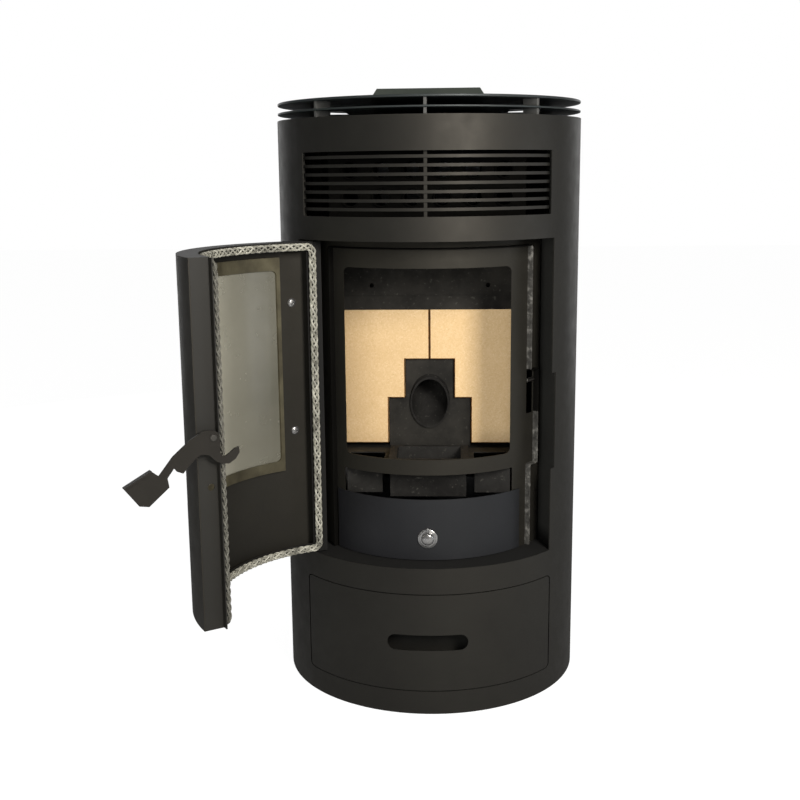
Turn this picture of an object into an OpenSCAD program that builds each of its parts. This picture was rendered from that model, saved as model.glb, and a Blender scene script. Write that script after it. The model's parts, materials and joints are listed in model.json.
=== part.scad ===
// Cylindrical pellet stove with a hinged fire door, an ash drawer and a base drawer.
// +Z is up, the front faces -Y, and the origin is the centre of the base on the floor.
// Angles across the front are measured from -Y towards +X.
// The door, the latch and the ash drawer are drawn where they stand with the door open.

/* [Casing] */
// Outer radius of the round casing
casing_r = 260; // [220:1:320]
// Thickness of the casing sheet
casing_t = 2; // [1.5:0.5:3]
// Height of the casing's upper rim above the floor
casing_h = 975; // [960:1:1200]
// Half angle of the front sheet, which the rear sheet completes
casing_half = 112; // [105:1:120]
// Thickness of the base plate
base_t = 4; // [3:0.5:8]

/* [Door opening] */
// Angle of the door opening's edge on the latch side
opening_half = 52.3; // [51.8:0.1:53]
// Angle of the door opening's edge on the hinge side
opening_hinge = 54.5; // [54.2:0.1:54.8]
// Height of the opening's lower edge
opening_z0 = 255; // [250:1:262]
// Height of the opening's upper edge
opening_z1 = 783; // [760:1:790]
// Half angle of the notch that the latch arm passes through
notch_half = 54.8; // [54:0.1:55]
// Lower edge of the latch notch
notch_z0 = 398; // [380:1:420]
// Upper edge of the latch notch
notch_z1 = 561; // [555:1:575]

/* [Door] */
// Angle of the door's edge on the latch side
door_half = 50.7; // [50:0.1:51]
// Angle of the door's edge on the hinge side
door_hinge = 52; // [51.5:0.1:52.2]
// Gap between the door and the opening, above and below
door_gap = 2.5; // [2:0.5:4]
// Depth of the door from its skin to the face of its rope seal
door_depth = 40; // [38:1:42]
// Thickness of the door sheet
door_t = 1.8; // [1.5:0.1:2.5]
// Distance of the hinge axis inside the casing's surface
hinge_inset = 13; // [12:0.5:14]
// Angle of the hinge axis to the left of the front
hinge_angle = 49.6; // [49.2:0.1:49.8]
// Radius of the hinge pins
hinge_pin_r = 4; // [3:0.5:5]
// Angle by which the door stands open
door_open = 107; // [90:1:115]
// Thickness of the rope seal
seal_t = 9.5; // [8:0.5:11]
// Width of the rope seal
seal_w = 14; // [12:0.5:15]
// Half width of the window in the door
window_half_w = 140; // [110:1:142]
// Lower edge of the window
window_z0 = 418; // [400:1:450]
// Upper edge of the window
window_z1 = 736; // [690:1:740]
// Thickness of the ceramic glass
glass_t = 4; // [3:0.5:5]

/* [Latch] */
// Height of the latch pivot
latch_z = 538; // [534:1:542]
// Distance of the latch pivot inside the casing's surface
latch_inset = 19; // [17:1:21]
// Gap between the door's side and the latch plate, bridged by the pivot's boss
latch_standoff = 13; // [12:0.5:13]
// Thickness of the latch plate
latch_t = 3; // [2.5:0.5:3.5]
// Radius of the latch pivot
latch_pin_r = 3; // [2.5:0.5:4]

/* [Front plate and firebox] */
// Distance of the curved plate behind the door from the casing's surface
plate_inset = 50; // [48:1:52]
// Thickness of that plate
plate_t = 2; // [1.5:0.5:3]
// Half width of the fire opening
fire_half_w = 137; // [120:1:142]
// Lower edge of the fire opening
fire_z0 = 425; // [420:1:440]
// Upper edge of the fire opening
fire_z1 = 738; // [700:1:742]
// Radius of the fire opening's corners
fire_corner_r = 9; // [5:1:20]
// Half width of the ash opening
ash_half_w = 141; // [130:1:143]
// Upper edge of the ash opening
ash_z1 = 399; // [392:1:402]
// Face of the fire-brick slabs, measured from the centre
fireback_y = -20; // [-40:1:-10]
// Thickness of the fire-brick slabs
brick_t = 25; // [20:1:30]
// Upper edge of the slabs
brick_z1 = 655; // [640:1:670]
// Outer half width of the firebox
firebox_half_w = 156; // [150:1:160]
// Outer radius of the pellet chute
chute_r = 35; // [30:1:38]
// Slope of the pellet chute above the horizontal
chute_slope = 41; // [36:1:45]

/* [Drawers] */
// Half width of the ash drawer's front
ash_front_half_w = 154.5; // [148:0.5:154.5]
// Height of the ash drawer's front
ash_front_h = 103.5; // [95:0.5:110]
// How much tighter the ash drawer's front curves than the ridge above it
ash_front_ease = 19.7; // [15:0.1:30]
// Half angle of the base drawer's opening
base_half = 53; // [45:0.5:55]
// Lower edge of the base drawer's opening
base_z0 = 41; // [35:1:50]
// Upper edge of the base drawer's opening
base_z1 = 211; // [200:1:225]
// Gap round the base drawer's front
base_gap = 1.5; // [1:0.5:3]
// Corner radius of the base drawer's front
base_corner_r = 8; // [4:1:15]
// Half length of the finger slot
slot_half_w = 67; // [50:1:75]
// Height of the finger slot
slot_h = 27; // [20:1:32]
// Height of the finger slot's middle
slot_z = 126.5; // [118:0.5:132]

/* [Grille] */
// Half angle of the warm-air outlet
grille_half = 50; // [40:1:50]
// Lower edge of the outlet
grille_z0 = 821; // [815:1:830]
// Upper edge of the outlet
grille_z1 = 921; // [910:1:930]
// Number of bars across the outlet
bar_count = 7; // [4:1:8]
// Height of one bar
bar_h = 5; // [3:0.5:6]

/* [Top] */
// Distance of the two top discs' edges inside the casing's surface
disc_inset = 1; // [0:0.5:10]
// Gap between the casing's rim and the lower disc
lower_gap = 10; // [8:1:14]
// Thickness of the lower disc
lower_disc_t = 3; // [2:0.5:4]
// Gap between the two discs
upper_gap = 12; // [8:1:16]
// Thickness of the top disc
top_disc_t = 4; // [3:0.5:5]
// Angle of the front side ribs between the discs from the stove's front
rib_front = 43.5; // [43:0.5:50]
// Angle of the rear side ribs between the discs from the stove's front
rib_rear = 120; // [115:1:125]
// Inner edge of the lower disc's two warm-air windows, from the middle
window_x0 = 134; // [120:1:140]
// Outer edge of the lower disc's windows, from the middle
window_x1 = 182; // [170:1:184]
// Length of the lower disc's windows, forwards from the middle
window_len = 155; // [120:1:156]
// Outer half width of the hopper's mouth
hopper_half_w = 92; // [80:1:95]
// Outer depth of the hopper's mouth from front to back
hopper_d = 190; // [160:1:195]
// Height of the hopper lid
lid_h = 24; // [18:1:30]

/* [Pipes] */
// Outer radius of the flue spigot
flue_r = 40; // [38:1:45]
// Height of the flue above the floor
flue_z = 150; // [140:1:170]
// Outer radius of the combustion air spigot
inlet_r = 25; // [20:1:30]
// Height of the combustion air spigot
inlet_z = 374; // [370:1:378]
// Distance that both spigots stand out behind the casing
spigot_reach = 45; // [30:1:60]

/* [Hidden] */
$fn = 96;
function tenths(values) = [for (v = values) round(10 * v) / 10];
seat_gap = 0.3;        // between pieces that rest on each other or pass closely
run_gap = 0.05;        // radial clearance of pins and shafts
sheet_t = 1.5;         // inner steel sheet
casing_in = casing_r - casing_t;
hinge_r = casing_r - hinge_inset;
latch_r = casing_r - latch_inset;
plate_r = casing_r - plate_inset;
disc_r = casing_r - disc_inset;
spigot_y = casing_r + spigot_reach;
seal_face_r = casing_r - door_depth;
seal_back_r = seal_face_r + seal_t;
seal_span = seal_w / seal_face_r * 180 / PI;      // angle that the rope seal covers
seal_right = 51.3;     // middle of the rope seal on the free side, degrees
seal_left = -48;       // middle of the rope seal on the hinge side, degrees
door_mid = (door_half - door_hinge) / 2;
door_span = (door_half + door_hinge) / 2;
door_z0 = opening_z0 + door_gap;
door_z1 = opening_z1 - door_gap;
hinge_x = -hinge_r * sin(hinge_angle);
hinge_y = -hinge_r * cos(hinge_angle);
ridge_tip_r = seal_face_r - seat_gap;
wall_out_angle = 55.07;
wall_in_angle = 64.96;
wall_out = tenths((casing_in - 1.25) * [sin(wall_out_angle), -cos(wall_out_angle)]);   // recess side wall
wall_in = tenths((plate_r + 0.27) * [sin(wall_in_angle), -cos(wall_in_angle)]);
floor_z = fire_z0 - 25;       // underside of the firebox floor
lintel_z1 = fire_z1 + 8;      // top of the firebox
lower_disc_z = casing_h + lower_gap;
upper_disc_z = lower_disc_z + lower_disc_t + upper_gap;
top_z = upper_disc_z + top_disc_t;
hopper_y0 = -26;
hopper_y1 = hopper_y0 + hopper_d;
chute_z = 487;                // height of the chute's mouth on the burner plate
ash_front_z0 = opening_z0 + 1.5;
ash_front_r = ridge_tip_r - ash_front_ease;
ash_front_y = -ash_front_ease;   // centre of the drawer front's arc
auger_low = [0, 190, 531.6];
auger_high = [0, 40, 665.6];
auger_tilt = atan2(auger_low[1] - auger_high[1], auger_high[2] - auger_low[2]);
auger_len = norm(auger_high - auger_low);
auger_out_r = 30;
fan_x = -95;                  // exhaust fan and flue
fan_y = 112;
fan_r = 72;
inlet_turn = -28;              // the mains inlet stands this far round from the back
blower_y = 120;               // room air blower
blower_z = 130;
blower_x = 40;
pot_half_w = 58;
pot_y0 = -150;
pot_y1 = -56;
pot_z0 = 372;
pot_z1 = 412;

// ---------- shared shapes ----------

// A piece of round wall between two radii and two heights, centred on an angle
module arc_wall(r_in, r_out, half, z0, z1, mid = 0) {
    translate([0, 0, z0])
        rotate([0, 0, mid - half - 90])
            rotate_extrude(angle = 2 * half)
                translate([r_in, 0]) square([r_out - r_in, z1 - z0]);
}

// A box given by its low and high corners
module span(low, high) {
    translate(low) cube(high - low);
}

// A straight cut along Y with rounded corners
module rounded_slot(half_w, z0, z1, corner_r, y0, y1) {
    translate([0, y1, 0]) rotate([90, 0, 0]) linear_extrude(y1 - y0) {
        translate([-half_w + corner_r, z0]) square([2 * (half_w - corner_r), z1 - z0]);
        translate([-half_w, z0 + corner_r]) square([2 * half_w, z1 - z0 - 2 * corner_r]);
        for (side = [-1, 1], z = [z0 + corner_r, z1 - corner_r])
            translate([side * (half_w - corner_r), z]) circle(r = corner_r);
    }
}

// A straight cut along Y with fully round ends
module round_end_slot(half_w, z, h, y0, y1) {
    translate([0, y1, 0]) rotate([90, 0, 0]) linear_extrude(y1 - y0) {
        translate([-half_w + h / 2, z - h / 2]) square([2 * half_w - h, h]);
        for (side = [-1, 1])
            translate([side * (half_w - h / 2), z]) circle(r = h / 2);
    }
}

// A flat wall of the recess, mirrored for the other side
module recess_wall(z0, z1) {
    run = wall_in - wall_out;
    translate([wall_out[0], wall_out[1], z0])
        rotate([0, 0, atan2(run[1], run[0])])
            translate([0, -sheet_t, 0]) cube([norm(run), sheet_t, z1 - z0]);
}

// Turns a piece of the closed door to where the open door stands
module on_door() {
    translate([hinge_x, hinge_y, 0]) rotate([0, 0, -door_open])
        translate([-hinge_x, -hinge_y, 0]) children();
}

// Places a shape at the latch pivot: +X outwards, +Y up, +Z away from the door's side
module at_latch() {
    rotate([0, 0, door_half - 90]) translate([latch_r, 0, latch_z])
        rotate([90, 0, 0]) mirror([0, 0, 1]) children();
}

module along_auger() {
    translate(auger_low) rotate([auger_tilt, 0, 0]) children();
}

// ---------- base, posts and casing ----------

module base_plate() {
    color([0.16, 0.16, 0.16]) cylinder(r = casing_in - seat_gap, h = base_t);
}

module chassis_posts() {
    color([0.3, 0.3, 0.31])
    for (a = [72, 118, 242, 288])
        rotate([0, 0, a - 90]) translate([casing_in - 24, -11, base_t])
            difference() {
                cube([22, 22, casing_h - 3 - base_t]);
                translate([-1, 2, -1]) cube([21, 21, casing_h]);
            }
}

module front_casing() {
    cut_in = casing_in - 10;
    cut_out = casing_r + 10;
    color([0.2, 0.2, 0.19])
    difference() {
        arc_wall(casing_in, casing_r, casing_half, 1, casing_h);
        arc_wall(cut_in, cut_out, (opening_half + opening_hinge) / 2, opening_z0, opening_z1,
                 (opening_half - opening_hinge) / 2);
        arc_wall(cut_in, cut_out, (notch_half - opening_half + 1) / 2, notch_z0, notch_z1,
                 (notch_half + opening_half - 1) / 2);
        arc_wall(cut_in, cut_out, grille_half, grille_z0, grille_z1);
        rounded_slot(base_half_w, base_z0, base_z1, base_corner_r, -casing_r - 5, -140);
    }
}

module rear_casing() {
    slot_rows = 9;
    slot_pitch = 16;
    slot_z0 = 560;
    cut_y = casing_r - 50;     // the cuts start inside the wall and run out past it
    cut_d = 70;
    color([0.2, 0.2, 0.19])
    difference() {
        arc_wall(casing_in, casing_r, 180 - casing_half - 0.3, 1, casing_h, 180);
        translate([fan_x, cut_y, flue_z]) rotate([-90, 0, 0])
            cylinder(r = flue_r + 1, h = cut_d);
        translate([0, cut_y, inlet_z]) rotate([-90, 0, 0])
            cylinder(r = inlet_r + 1, h = cut_d);
        rotate([0, 0, inlet_turn]) span([-25, cut_y, 60], [25, cut_y + cut_d, 92]);
        for (row = [0:slot_rows - 1])
            span([-45, cut_y, slot_z0 + row * slot_pitch],
                 [45, cut_y + cut_d, slot_z0 + 6 + row * slot_pitch]);
    }
}

// ---------- top ----------

// The hopper mouth's outline, grown by a margin
module hopper_cut(margin, z0, z1) {
    span([-hopper_half_w - margin, hopper_y0 - margin, z0],
         [hopper_half_w + margin, hopper_y1 + margin, z1]);
}

module top_deck() {
    color([0.16, 0.16, 0.16])
    difference() {
        translate([0, 0, casing_h - 3]) cylinder(r = casing_in - seat_gap, h = 3);
        hopper_cut(seat_gap, casing_h - 10, casing_h + 1);
        for (side = [-1, 1])
            span([side > 0 ? 115 : -175, -60, casing_h - 10], [side > 0 ? 175 : -115, 60, casing_h + 1]);
    }
}

module spacer_ring(z0, z1) {
    for (angle = [0, rib_front, rib_rear, 180, -rib_rear, -rib_front])
        rotate([0, 0, angle - 90])
            translate([disc_r - 35, -2.5, z0]) cube([30, 5, z1 - z0]);
}

module lower_spacers() {
    color([0.45, 0.45, 0.43]) spacer_ring(casing_h, lower_disc_z);
}

module upper_spacers() {
    color([0.45, 0.45, 0.43]) spacer_ring(lower_disc_z + lower_disc_t, upper_disc_z);
}

module lower_disc() {
    color([0.18, 0.18, 0.18])
    difference() {
        translate([0, 0, lower_disc_z]) cylinder(r = disc_r, h = lower_disc_t);
        hopper_cut(seat_gap, lower_disc_z - 1, lower_disc_z + lower_disc_t + 1);
        for (turned = [0, 1])
            mirror([turned, 0, 0])
                span([window_x0, -window_len, lower_disc_z - 1],
                     [window_x1, 0, lower_disc_z + lower_disc_t + 1]);
    }
}

module top_disc() {
    color([0.2, 0.2, 0.19])
    difference() {
        translate([0, 0, upper_disc_z]) cylinder(r = disc_r, h = top_disc_t);
        hopper_cut(seat_gap, upper_disc_z - 1, top_z + 1);
    }
}

hopper_straight_z = 880;
hopper_low_z = 614;
hopper_low = [28, 146, 204];   // half width, front and back of the lower mouth

// The hopper grown inwards by a margin and lengthened past both mouths
module hopper_form(margin, reach) {
    hull() {
        span([-hopper_half_w + margin, hopper_y0 + margin, hopper_straight_z],
             [hopper_half_w - margin, hopper_y1 - margin, hopper_straight_z + 2]);
        span([-hopper_low[0] + margin, hopper_low[1] + margin, hopper_low_z - reach],
             [hopper_low[0] - margin, hopper_low[2] - margin, hopper_low_z + 1]);
    }
    span([-hopper_half_w + margin, hopper_y0 + margin, hopper_straight_z + 1],
         [hopper_half_w - margin, hopper_y1 - margin, top_z + reach]);
}

module hopper() {
    color([0.55, 0.56, 0.57])
    difference() {
        hopper_form(0, 0);
        hopper_form(sheet_t, 1);
    }
}

module hopper_guard() {
    color([0.6, 0.6, 0.6])
    difference() {
        span([-hopper_half_w + 2, hopper_y0 + 2, 902], [hopper_half_w - 2, hopper_y1 - 2, 904]);
        for (ix = [-3:3], iy = [0:6])
            span([ix * 24 - 9, hopper_y0 + 13 + iy * 24, 900],
                 [ix * 24 + 9, hopper_y0 + 31 + iy * 24, 906]);
    }
}

lid_overlap = 6;
lid_z0 = top_z + 1;
lid_axis = [hopper_y1 + lid_overlap + 7, top_z + 7];   // Y and Z of the lid's hinge

module hopper_lid() {
    low_w = hopper_half_w + lid_overlap;
    low_y0 = hopper_y0 - lid_overlap;
    low_y1 = hopper_y1 + lid_overlap;
    color([0.2, 0.2, 0.19])
    difference() {
        union() {
            hull() {
                span([-low_w, low_y0, lid_z0], [low_w, low_y1, lid_z0 + 7]);
                span([-low_w + 10, low_y0 + 14, lid_z0 + 7],
                     [low_w - 10, low_y1 - 8, lid_z0 + lid_h]);
            }
            for (x = [-60, 60]) {
                translate([x - 14, lid_axis[0], lid_axis[1]]) rotate([0, 90, 0])
                    cylinder(r = 5, h = 28);
                span([x - 14, low_y1 - 3, lid_axis[1] - 4], [x + 14, lid_axis[0], lid_axis[1] + 5]);
            }
        }
        hull() {
            span([-low_w + 3, low_y0 + 3, lid_z0 - 1], [low_w - 3, low_y1 - 3, lid_z0 + 6]);
            span([-low_w + 13, low_y0 + 17, lid_z0 + 6],
                 [low_w - 13, low_y1 - 11, lid_z0 + lid_h - 3]);
        }
        for (x = [-60, 60])
            translate([x - 20, lid_axis[0], lid_axis[1]]) rotate([0, 90, 0])
                cylinder(r = 2.5 + run_gap, h = 40);
    }
}

module lid_hinge() {
    color([0.5, 0.5, 0.5])
    for (x = [-60, 60]) {
        translate([x - 20, lid_axis[0], lid_axis[1]]) rotate([0, 90, 0])
            cylinder(r = 2.5, h = 40);
        for (ear = [x - 20, x + 14.6])
            span([ear, lid_axis[0] - 4, top_z], [ear + 5.4, lid_axis[0] + 6, lid_axis[1] + 4]);
    }
}

// ---------- warm-air outlet ----------

module outlet_grille() {
    bar_r = casing_r - 6;
    bar_in = bar_r - 3;
    end_in = bar_in - 3;
    bar_half = grille_half + 3;
    pitch = (grille_z1 - grille_z0 - 10) / (bar_count - 0.3);
    color([0.18, 0.18, 0.18]) {
        for (i = [0:bar_count - 1])
            arc_wall(bar_in, bar_r, bar_half, grille_z0 + 8.5 + i * pitch,
                     grille_z0 + 8.5 + i * pitch + bar_h);
        for (a = [-bar_half, 0, bar_half])
            arc_wall(end_in + 0.5, bar_in + 1, 0.6, grille_z0 - 6, grille_z1 + 6, a);
        for (z = [grille_z0 - 8, grille_z1 + 4])
            arc_wall(end_in, casing_in - seat_gap, bar_half + 1, z, z + 4);
    }
}

tube_r = 15;
tube_y0 = -150;
tube_y1 = -34;

module tube_places() {
    for (x = [-125:50:125], z = [848, 893])
        translate([x, 0, z]) children();
}

module exchanger_tubes() {
    color([0.4, 0.4, 0.42])
    difference() {
        tube_places() translate([0, tube_y0, 0]) rotate([-90, 0, 0])
            cylinder(r = tube_r, h = tube_y1 - tube_y0);
        tube_places() translate([0, tube_y0 - 1, 0]) rotate([-90, 0, 0])
            cylinder(r = tube_r - 2, h = tube_y1 - tube_y0 + 2);
    }
}

module exchanger_plates() {
    color([0.22, 0.22, 0.22])
    difference() {
        for (y = [tube_y0 + 4, tube_y1 - 6])
            span([-160, y, 812], [160, y + 2, 934]);
        tube_places() translate([0, tube_y0 - 1, 0]) rotate([-90, 0, 0])
            cylinder(r = tube_r + seat_gap, h = tube_y1 - tube_y0 + 2);
    }
    color([0.22, 0.22, 0.22])
    for (x = [-160, 158])
        span([x, tube_y0 + 6, 812], [x + 2, tube_y1 - 6, 934]);
    color([0.22, 0.22, 0.22])
        span([-158, tube_y0 + 6, 812], [158, tube_y1 - 6, 814]);
}

// ---------- recess behind the door ----------

module recess_outline() {
    cut_y = wall_in[1] - 9;
    cut_taper = 40.5;
    slope = (wall_out[0] - wall_in[0]) / (wall_in[1] - wall_out[1]);
    out = wall_out + [sheet_t / 2, 0];
    inn = [out[0] - slope * (cut_y - out[1]), cut_y];
    polygon([[-out[0], out[1]], [-inn[0], inn[1]], [inn[0], inn[1]], [out[0], out[1]],
             [wall_in[0] - cut_taper, -casing_r], [cut_taper - wall_in[0], -casing_r]]);
}

// A floor or ceiling of the recess, between the casing and the curved plate
module recess_shelf(z0) {
    difference() {
        intersection() {
            translate([0, 0, z0]) linear_extrude(sheet_t) recess_outline();
            translate([0, 0, z0 - 1]) cylinder(r = casing_in - seat_gap, h = 4);
        }
        translate([0, 0, z0 - 1]) cylinder(r = plate_r + seat_gap, h = 4);
        translate([hinge_x, hinge_y, z0 - 1]) cylinder(r = hinge_pin_r + run_gap, h = 4);
    }
}

module recess_surround() {
    color([0.2, 0.2, 0.2]) {
        for (side = [0, 1]) mirror([side, 0, 0])
            recess_wall(opening_z0 - sheet_t - 1, opening_z1 + sheet_t + 1);
        recess_shelf(opening_z0 - sheet_t);
        recess_shelf(opening_z1);
    }
}

hook_slot_mid = 54.75;        // opening in the plate that the hook passes through
hook_slot_half = 2.85;

module front_plate() {
    half = asin((wall_in[0] - 1.5) / plate_r);
    color([0.19, 0.19, 0.19])
    difference() {
        arc_wall(plate_r - plate_t, plate_r, half, opening_z0 - 8, opening_z1 + 8);
        rounded_slot(fire_half_w, fire_z0, fire_z1, fire_corner_r, -plate_r - 5, -80);
        span([-ash_half_w, -plate_r - 5, opening_z0 + 3], [ash_half_w, -80, ash_z1]);
        arc_wall(plate_r - 10, plate_r + 5, hook_slot_half, 486, 560, hook_slot_mid);
    }
}

module seal_ridge() {
    half_a = 0.45;
    right = seal_right + 0.9;
    detour = hook_slot_mid + hook_slot_half + 0.7;   // round the opening for the hook
    z0 = opening_z0 + 1;
    z1 = opening_z1 - 12;
    detour_z0 = 397;
    detour_z1 = 563;
    color([0.35, 0.35, 0.34]) {
        arc_wall(plate_r, ridge_tip_r, half_a, z0, detour_z0 + 2, right);
        arc_wall(plate_r, ridge_tip_r, half_a, detour_z0 + 1, detour_z1 - 1, detour);
        arc_wall(plate_r, ridge_tip_r, half_a, detour_z1 - 2, z1 - 1, right);
        for (z = [detour_z0, detour_z1 - 3])
            arc_wall(plate_r + 0.1, ridge_tip_r - 0.3, (detour - right) / 2 + 0.2, z, z + 3,
                     (detour + right) / 2);
        arc_wall(plate_r, ridge_tip_r, half_a, z0, z1 - 1, seal_left);
        arc_wall(plate_r + 0.1, ridge_tip_r - 0.3, (right - seal_left) / 2 + 0.2, z1 - 3, z1,
                 (right + seal_left) / 2);
    }
}

module latch_keeper() {
    pin_r = 3.5;
    chord_r = (plate_r - plate_t / 2) * cos(hook_slot_half);
    pin_half = (chord_r - pin_r) * tan(hook_slot_half) - 0.1;
    color([0.5, 0.5, 0.5])
        rotate([0, 0, hook_slot_mid - 90]) translate([chord_r, 0, latch_z + 5])
            rotate([90, 0, 0]) cylinder(r = pin_r, h = 2 * pin_half, center = true);
}

// ---------- firebox ----------

module firebox_shell() {
    in_w = firebox_half_w - 2;
    back = fireback_y + brick_t + 3;
    color([0.22, 0.22, 0.22])
    difference() {
        intersection() {
            span([-firebox_half_w, -plate_r, floor_z], [firebox_half_w, back, lintel_z1]);
            translate([0, 0, floor_z - 1]) cylinder(r = plate_r - plate_t - seat_gap, h = 400);
        }
        span([-in_w, -plate_r - 1, floor_z + 2], [in_w, back - 2, lintel_z1 - 2]);
        span([-pot_half_w - 4, pot_y0 - 4, floor_z - 1], [pot_half_w + 4, pot_y1 + 4, floor_z + 3]);
        for (side = [-1, 1])
            span([side > 0 ? 78 : -140, pot_y0 + 10, floor_z - 1],
                 [side > 0 ? 140 : -78, pot_y1 - 4, floor_z + 3]);
        translate([0, back - 3, chute_z + 20]) rotate([-90, 0, 0]) cylinder(r = 58, h = 10);
        span([-118, back - 3, 646], [-72, back + 1, 684]);
    }
}

// Steps of the burner plate: half width and upper edge of each
step_wide = [73, 491];
step_narrow = [43, 561];

module fireback(side) {
    slab_half = firebox_half_w - 2.4;
    slab_z0 = floor_z + 9;
    color([0.87, 0.75, 0.57])
    difference() {
        span([side > 0 ? 0.5 : -slab_half, fireback_y, slab_z0],
             [side > 0 ? slab_half : -0.5, fireback_y + brick_t, brick_z1]);
        for (step = [step_wide, step_narrow])
            span([-step[0] - 1, fireback_y - 1, slab_z0 - 1],
                 [step[0] + 1, fireback_y + brick_t + 1, step[1] + 1]);
    }
}

module fireback_left() { fireback(-1); }
module fireback_right() { fireback(1); }

module lintel_plate() {
    in_w = firebox_half_w - 2.4;
    color([0.21, 0.21, 0.21])
    difference() {
        union() {
            span([-in_w, fireback_y - 2.3, brick_z1 - 4], [in_w, fireback_y - 0.3, lintel_z1 - 2.3]);
            span([-in_w, fireback_y - 6, brick_z1 + 22], [in_w, fireback_y - 2.3, lintel_z1 - 2.3]);
        }
        for (x = [-101, 103])
            translate([x, fireback_y - 10, 694]) rotate([-90, 0, 0]) cylinder(r = 4, h = 20);
    }
}

module chute_line(r, back) {
    translate([0, fireback_y + 8, chute_z]) rotate([-90 + chute_slope, 0, 0])
        translate([0, 0, -60]) cylinder(r = r, h = 60 + back);
}

module burner_plate() {
    plate_y = fireback_y + 8;
    color([0.25, 0.25, 0.26])
    difference() {
        for (step = [step_wide, step_narrow])
            span([-step[0], plate_y, floor_z + 2.3], [step[0], plate_y + 3, step[1]]);
        chute_line(chute_r + seat_gap, 120);
    }
}

drop_y = 52;    // the vertical pipe between the auger and the chute
drop_r = 26;

module pellet_chute() {
    drop_z0 = chute_z + (drop_y - fireback_y - 8) * tan(chute_slope);
    color([0.3, 0.3, 0.31])
    difference() {
        union() {
            intersection() {
                chute_line(chute_r, 94);
                span([-60, fireback_y + 3, 380], [60, 200, 640]);
            }
            translate([0, drop_y, drop_z0]) cylinder(r = drop_r, h = 100);
        }
        chute_line(chute_r - 3, 92);
        translate([0, drop_y, drop_z0]) cylinder(r = drop_r - 3, h = 101);
        along_auger() translate([0, 0, -10])
            cylinder(r = auger_out_r + seat_gap, h = auger_len + 60);
    }
}

module burn_pot() {
    color([0.27, 0.26, 0.26])
    difference() {
        union() {
            span([-pot_half_w, pot_y0, pot_z0], [pot_half_w, pot_y1, pot_z1]);
            span([-68, pot_y0 - 7, pot_z1 - 2], [68, pot_y1 + 5, pot_z1]);
        }
        span([-pot_half_w + 3, pot_y0 + 3, pot_z0 + 3], [pot_half_w - 3, pot_y1 - 3, pot_z1 + 1]);
        for (ix = [-3:3], iy = [-2:2])
            translate([ix * 14, (pot_y0 + pot_y1) / 2 + iy * 15, pot_z0 - 1])
                cylinder(r = 2.5, h = 5, $fn = 16);
    }
}

module pot_holder() {
    z0 = floor_z + 2;
    z1 = pot_z1 - 2;
    color([0.24, 0.24, 0.24])
    difference() {
        span([-66, pot_y0 - 7, z0], [66, pot_y1 + 5, z1]);
        span([-pot_half_w - 1, pot_y0 - 1, z0 - 1], [pot_half_w + 1, pot_y1 + 1, z1 + 1]);
    }
}

module air_box() {
    half = 64;
    z0 = 352;
    color([0.24, 0.24, 0.24])
    difference() {
        union() {
            span([-half, -170, z0], [half, -34, floor_z]);
            for (side = [-1, 1])
                span([side > 0 ? 78 : -138, -152, z0 + 2], [side > 0 ? 138 : -78, -150, floor_z]);
        }
        span([-half + 2, -168, z0 + 2], [half - 2, -36, floor_z + 1]);
        translate([0, -38, inlet_z]) rotate([-90, 0, 0]) cylinder(r = 21, h = 8);
        translate([40, -38, 386]) rotate([-90, 0, 0]) cylinder(r = 5 + seat_gap, h = 8);
    }
}

module air_inlet_pipe() {
    color([0.55, 0.55, 0.55])
    translate([0, 0, inlet_z]) rotate([-90, 0, 0])
        difference() {
            union() {
                translate([0, 0, -34]) cylinder(r = inlet_r - 1, h = spigot_y + 20);
                translate([0, 0, spigot_y - 40]) cylinder(r = inlet_r, h = 40);
            }
            translate([0, 0, -35]) cylinder(r = inlet_r - 2.5, h = spigot_y + 36);
        }
}

module igniter() {
    color([0.7, 0.7, 0.68]) {
        translate([40, -52, 386]) rotate([-90, 0, 0]) cylinder(r = 5, h = 92);
        translate([40, -33.9, 386]) rotate([-90, 0, 0]) cylinder(r = 9, h = 12);
    }
}

// ---------- pellet feed ----------

module auger_housing() {
    throat = [29, 145, 205];   // half width, front and back
    color([0.5, 0.5, 0.5])
    difference() {
        union() {
            along_auger() cylinder(r = auger_out_r, h = auger_len);
            span([-throat[0], throat[1], 552], [throat[0], throat[2], hopper_low_z - seat_gap]);
        }
        along_auger() translate([0, 0, -1]) cylinder(r = auger_out_r - 2, h = auger_len - 2);
        span([-throat[0] + 2, throat[1] + 2, 545], [throat[0] - 2, throat[2] - 2, hopper_low_z]);
        translate([0, drop_y, 560]) cylinder(r = drop_r - 3, h = 70);
    }
}

module auger_screw() {
    shaft_r = 7;
    flight_r = auger_out_r - 4;
    pitch = 30;
    turns = 6;
    color([0.6, 0.6, 0.62])
    along_auger() {
        translate([0, 0, -26]) cylinder(r = shaft_r, h = auger_len + 18);
        for (i = [0:turns - 1])
            translate([0, 0, 14 + i * pitch]) cylinder(r = flight_r, h = 3);
    }
}

module auger_motor() {
    color([0.45, 0.45, 0.47])
    along_auger()
        difference() {
            union() {
                translate([0, 0, -10]) cylinder(r = auger_out_r + 4, h = 9.7);
                translate([-26, -24, -56]) cube([52, 48, 40]);
                for (side = [-1, 1])
                    translate([side * 21, 0, -18]) cylinder(r = 5, h = 10);
            }
            translate([0, 0, -30]) cylinder(r = 7 + run_gap, h = 40);
        }
}

// ---------- exhaust ----------

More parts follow.
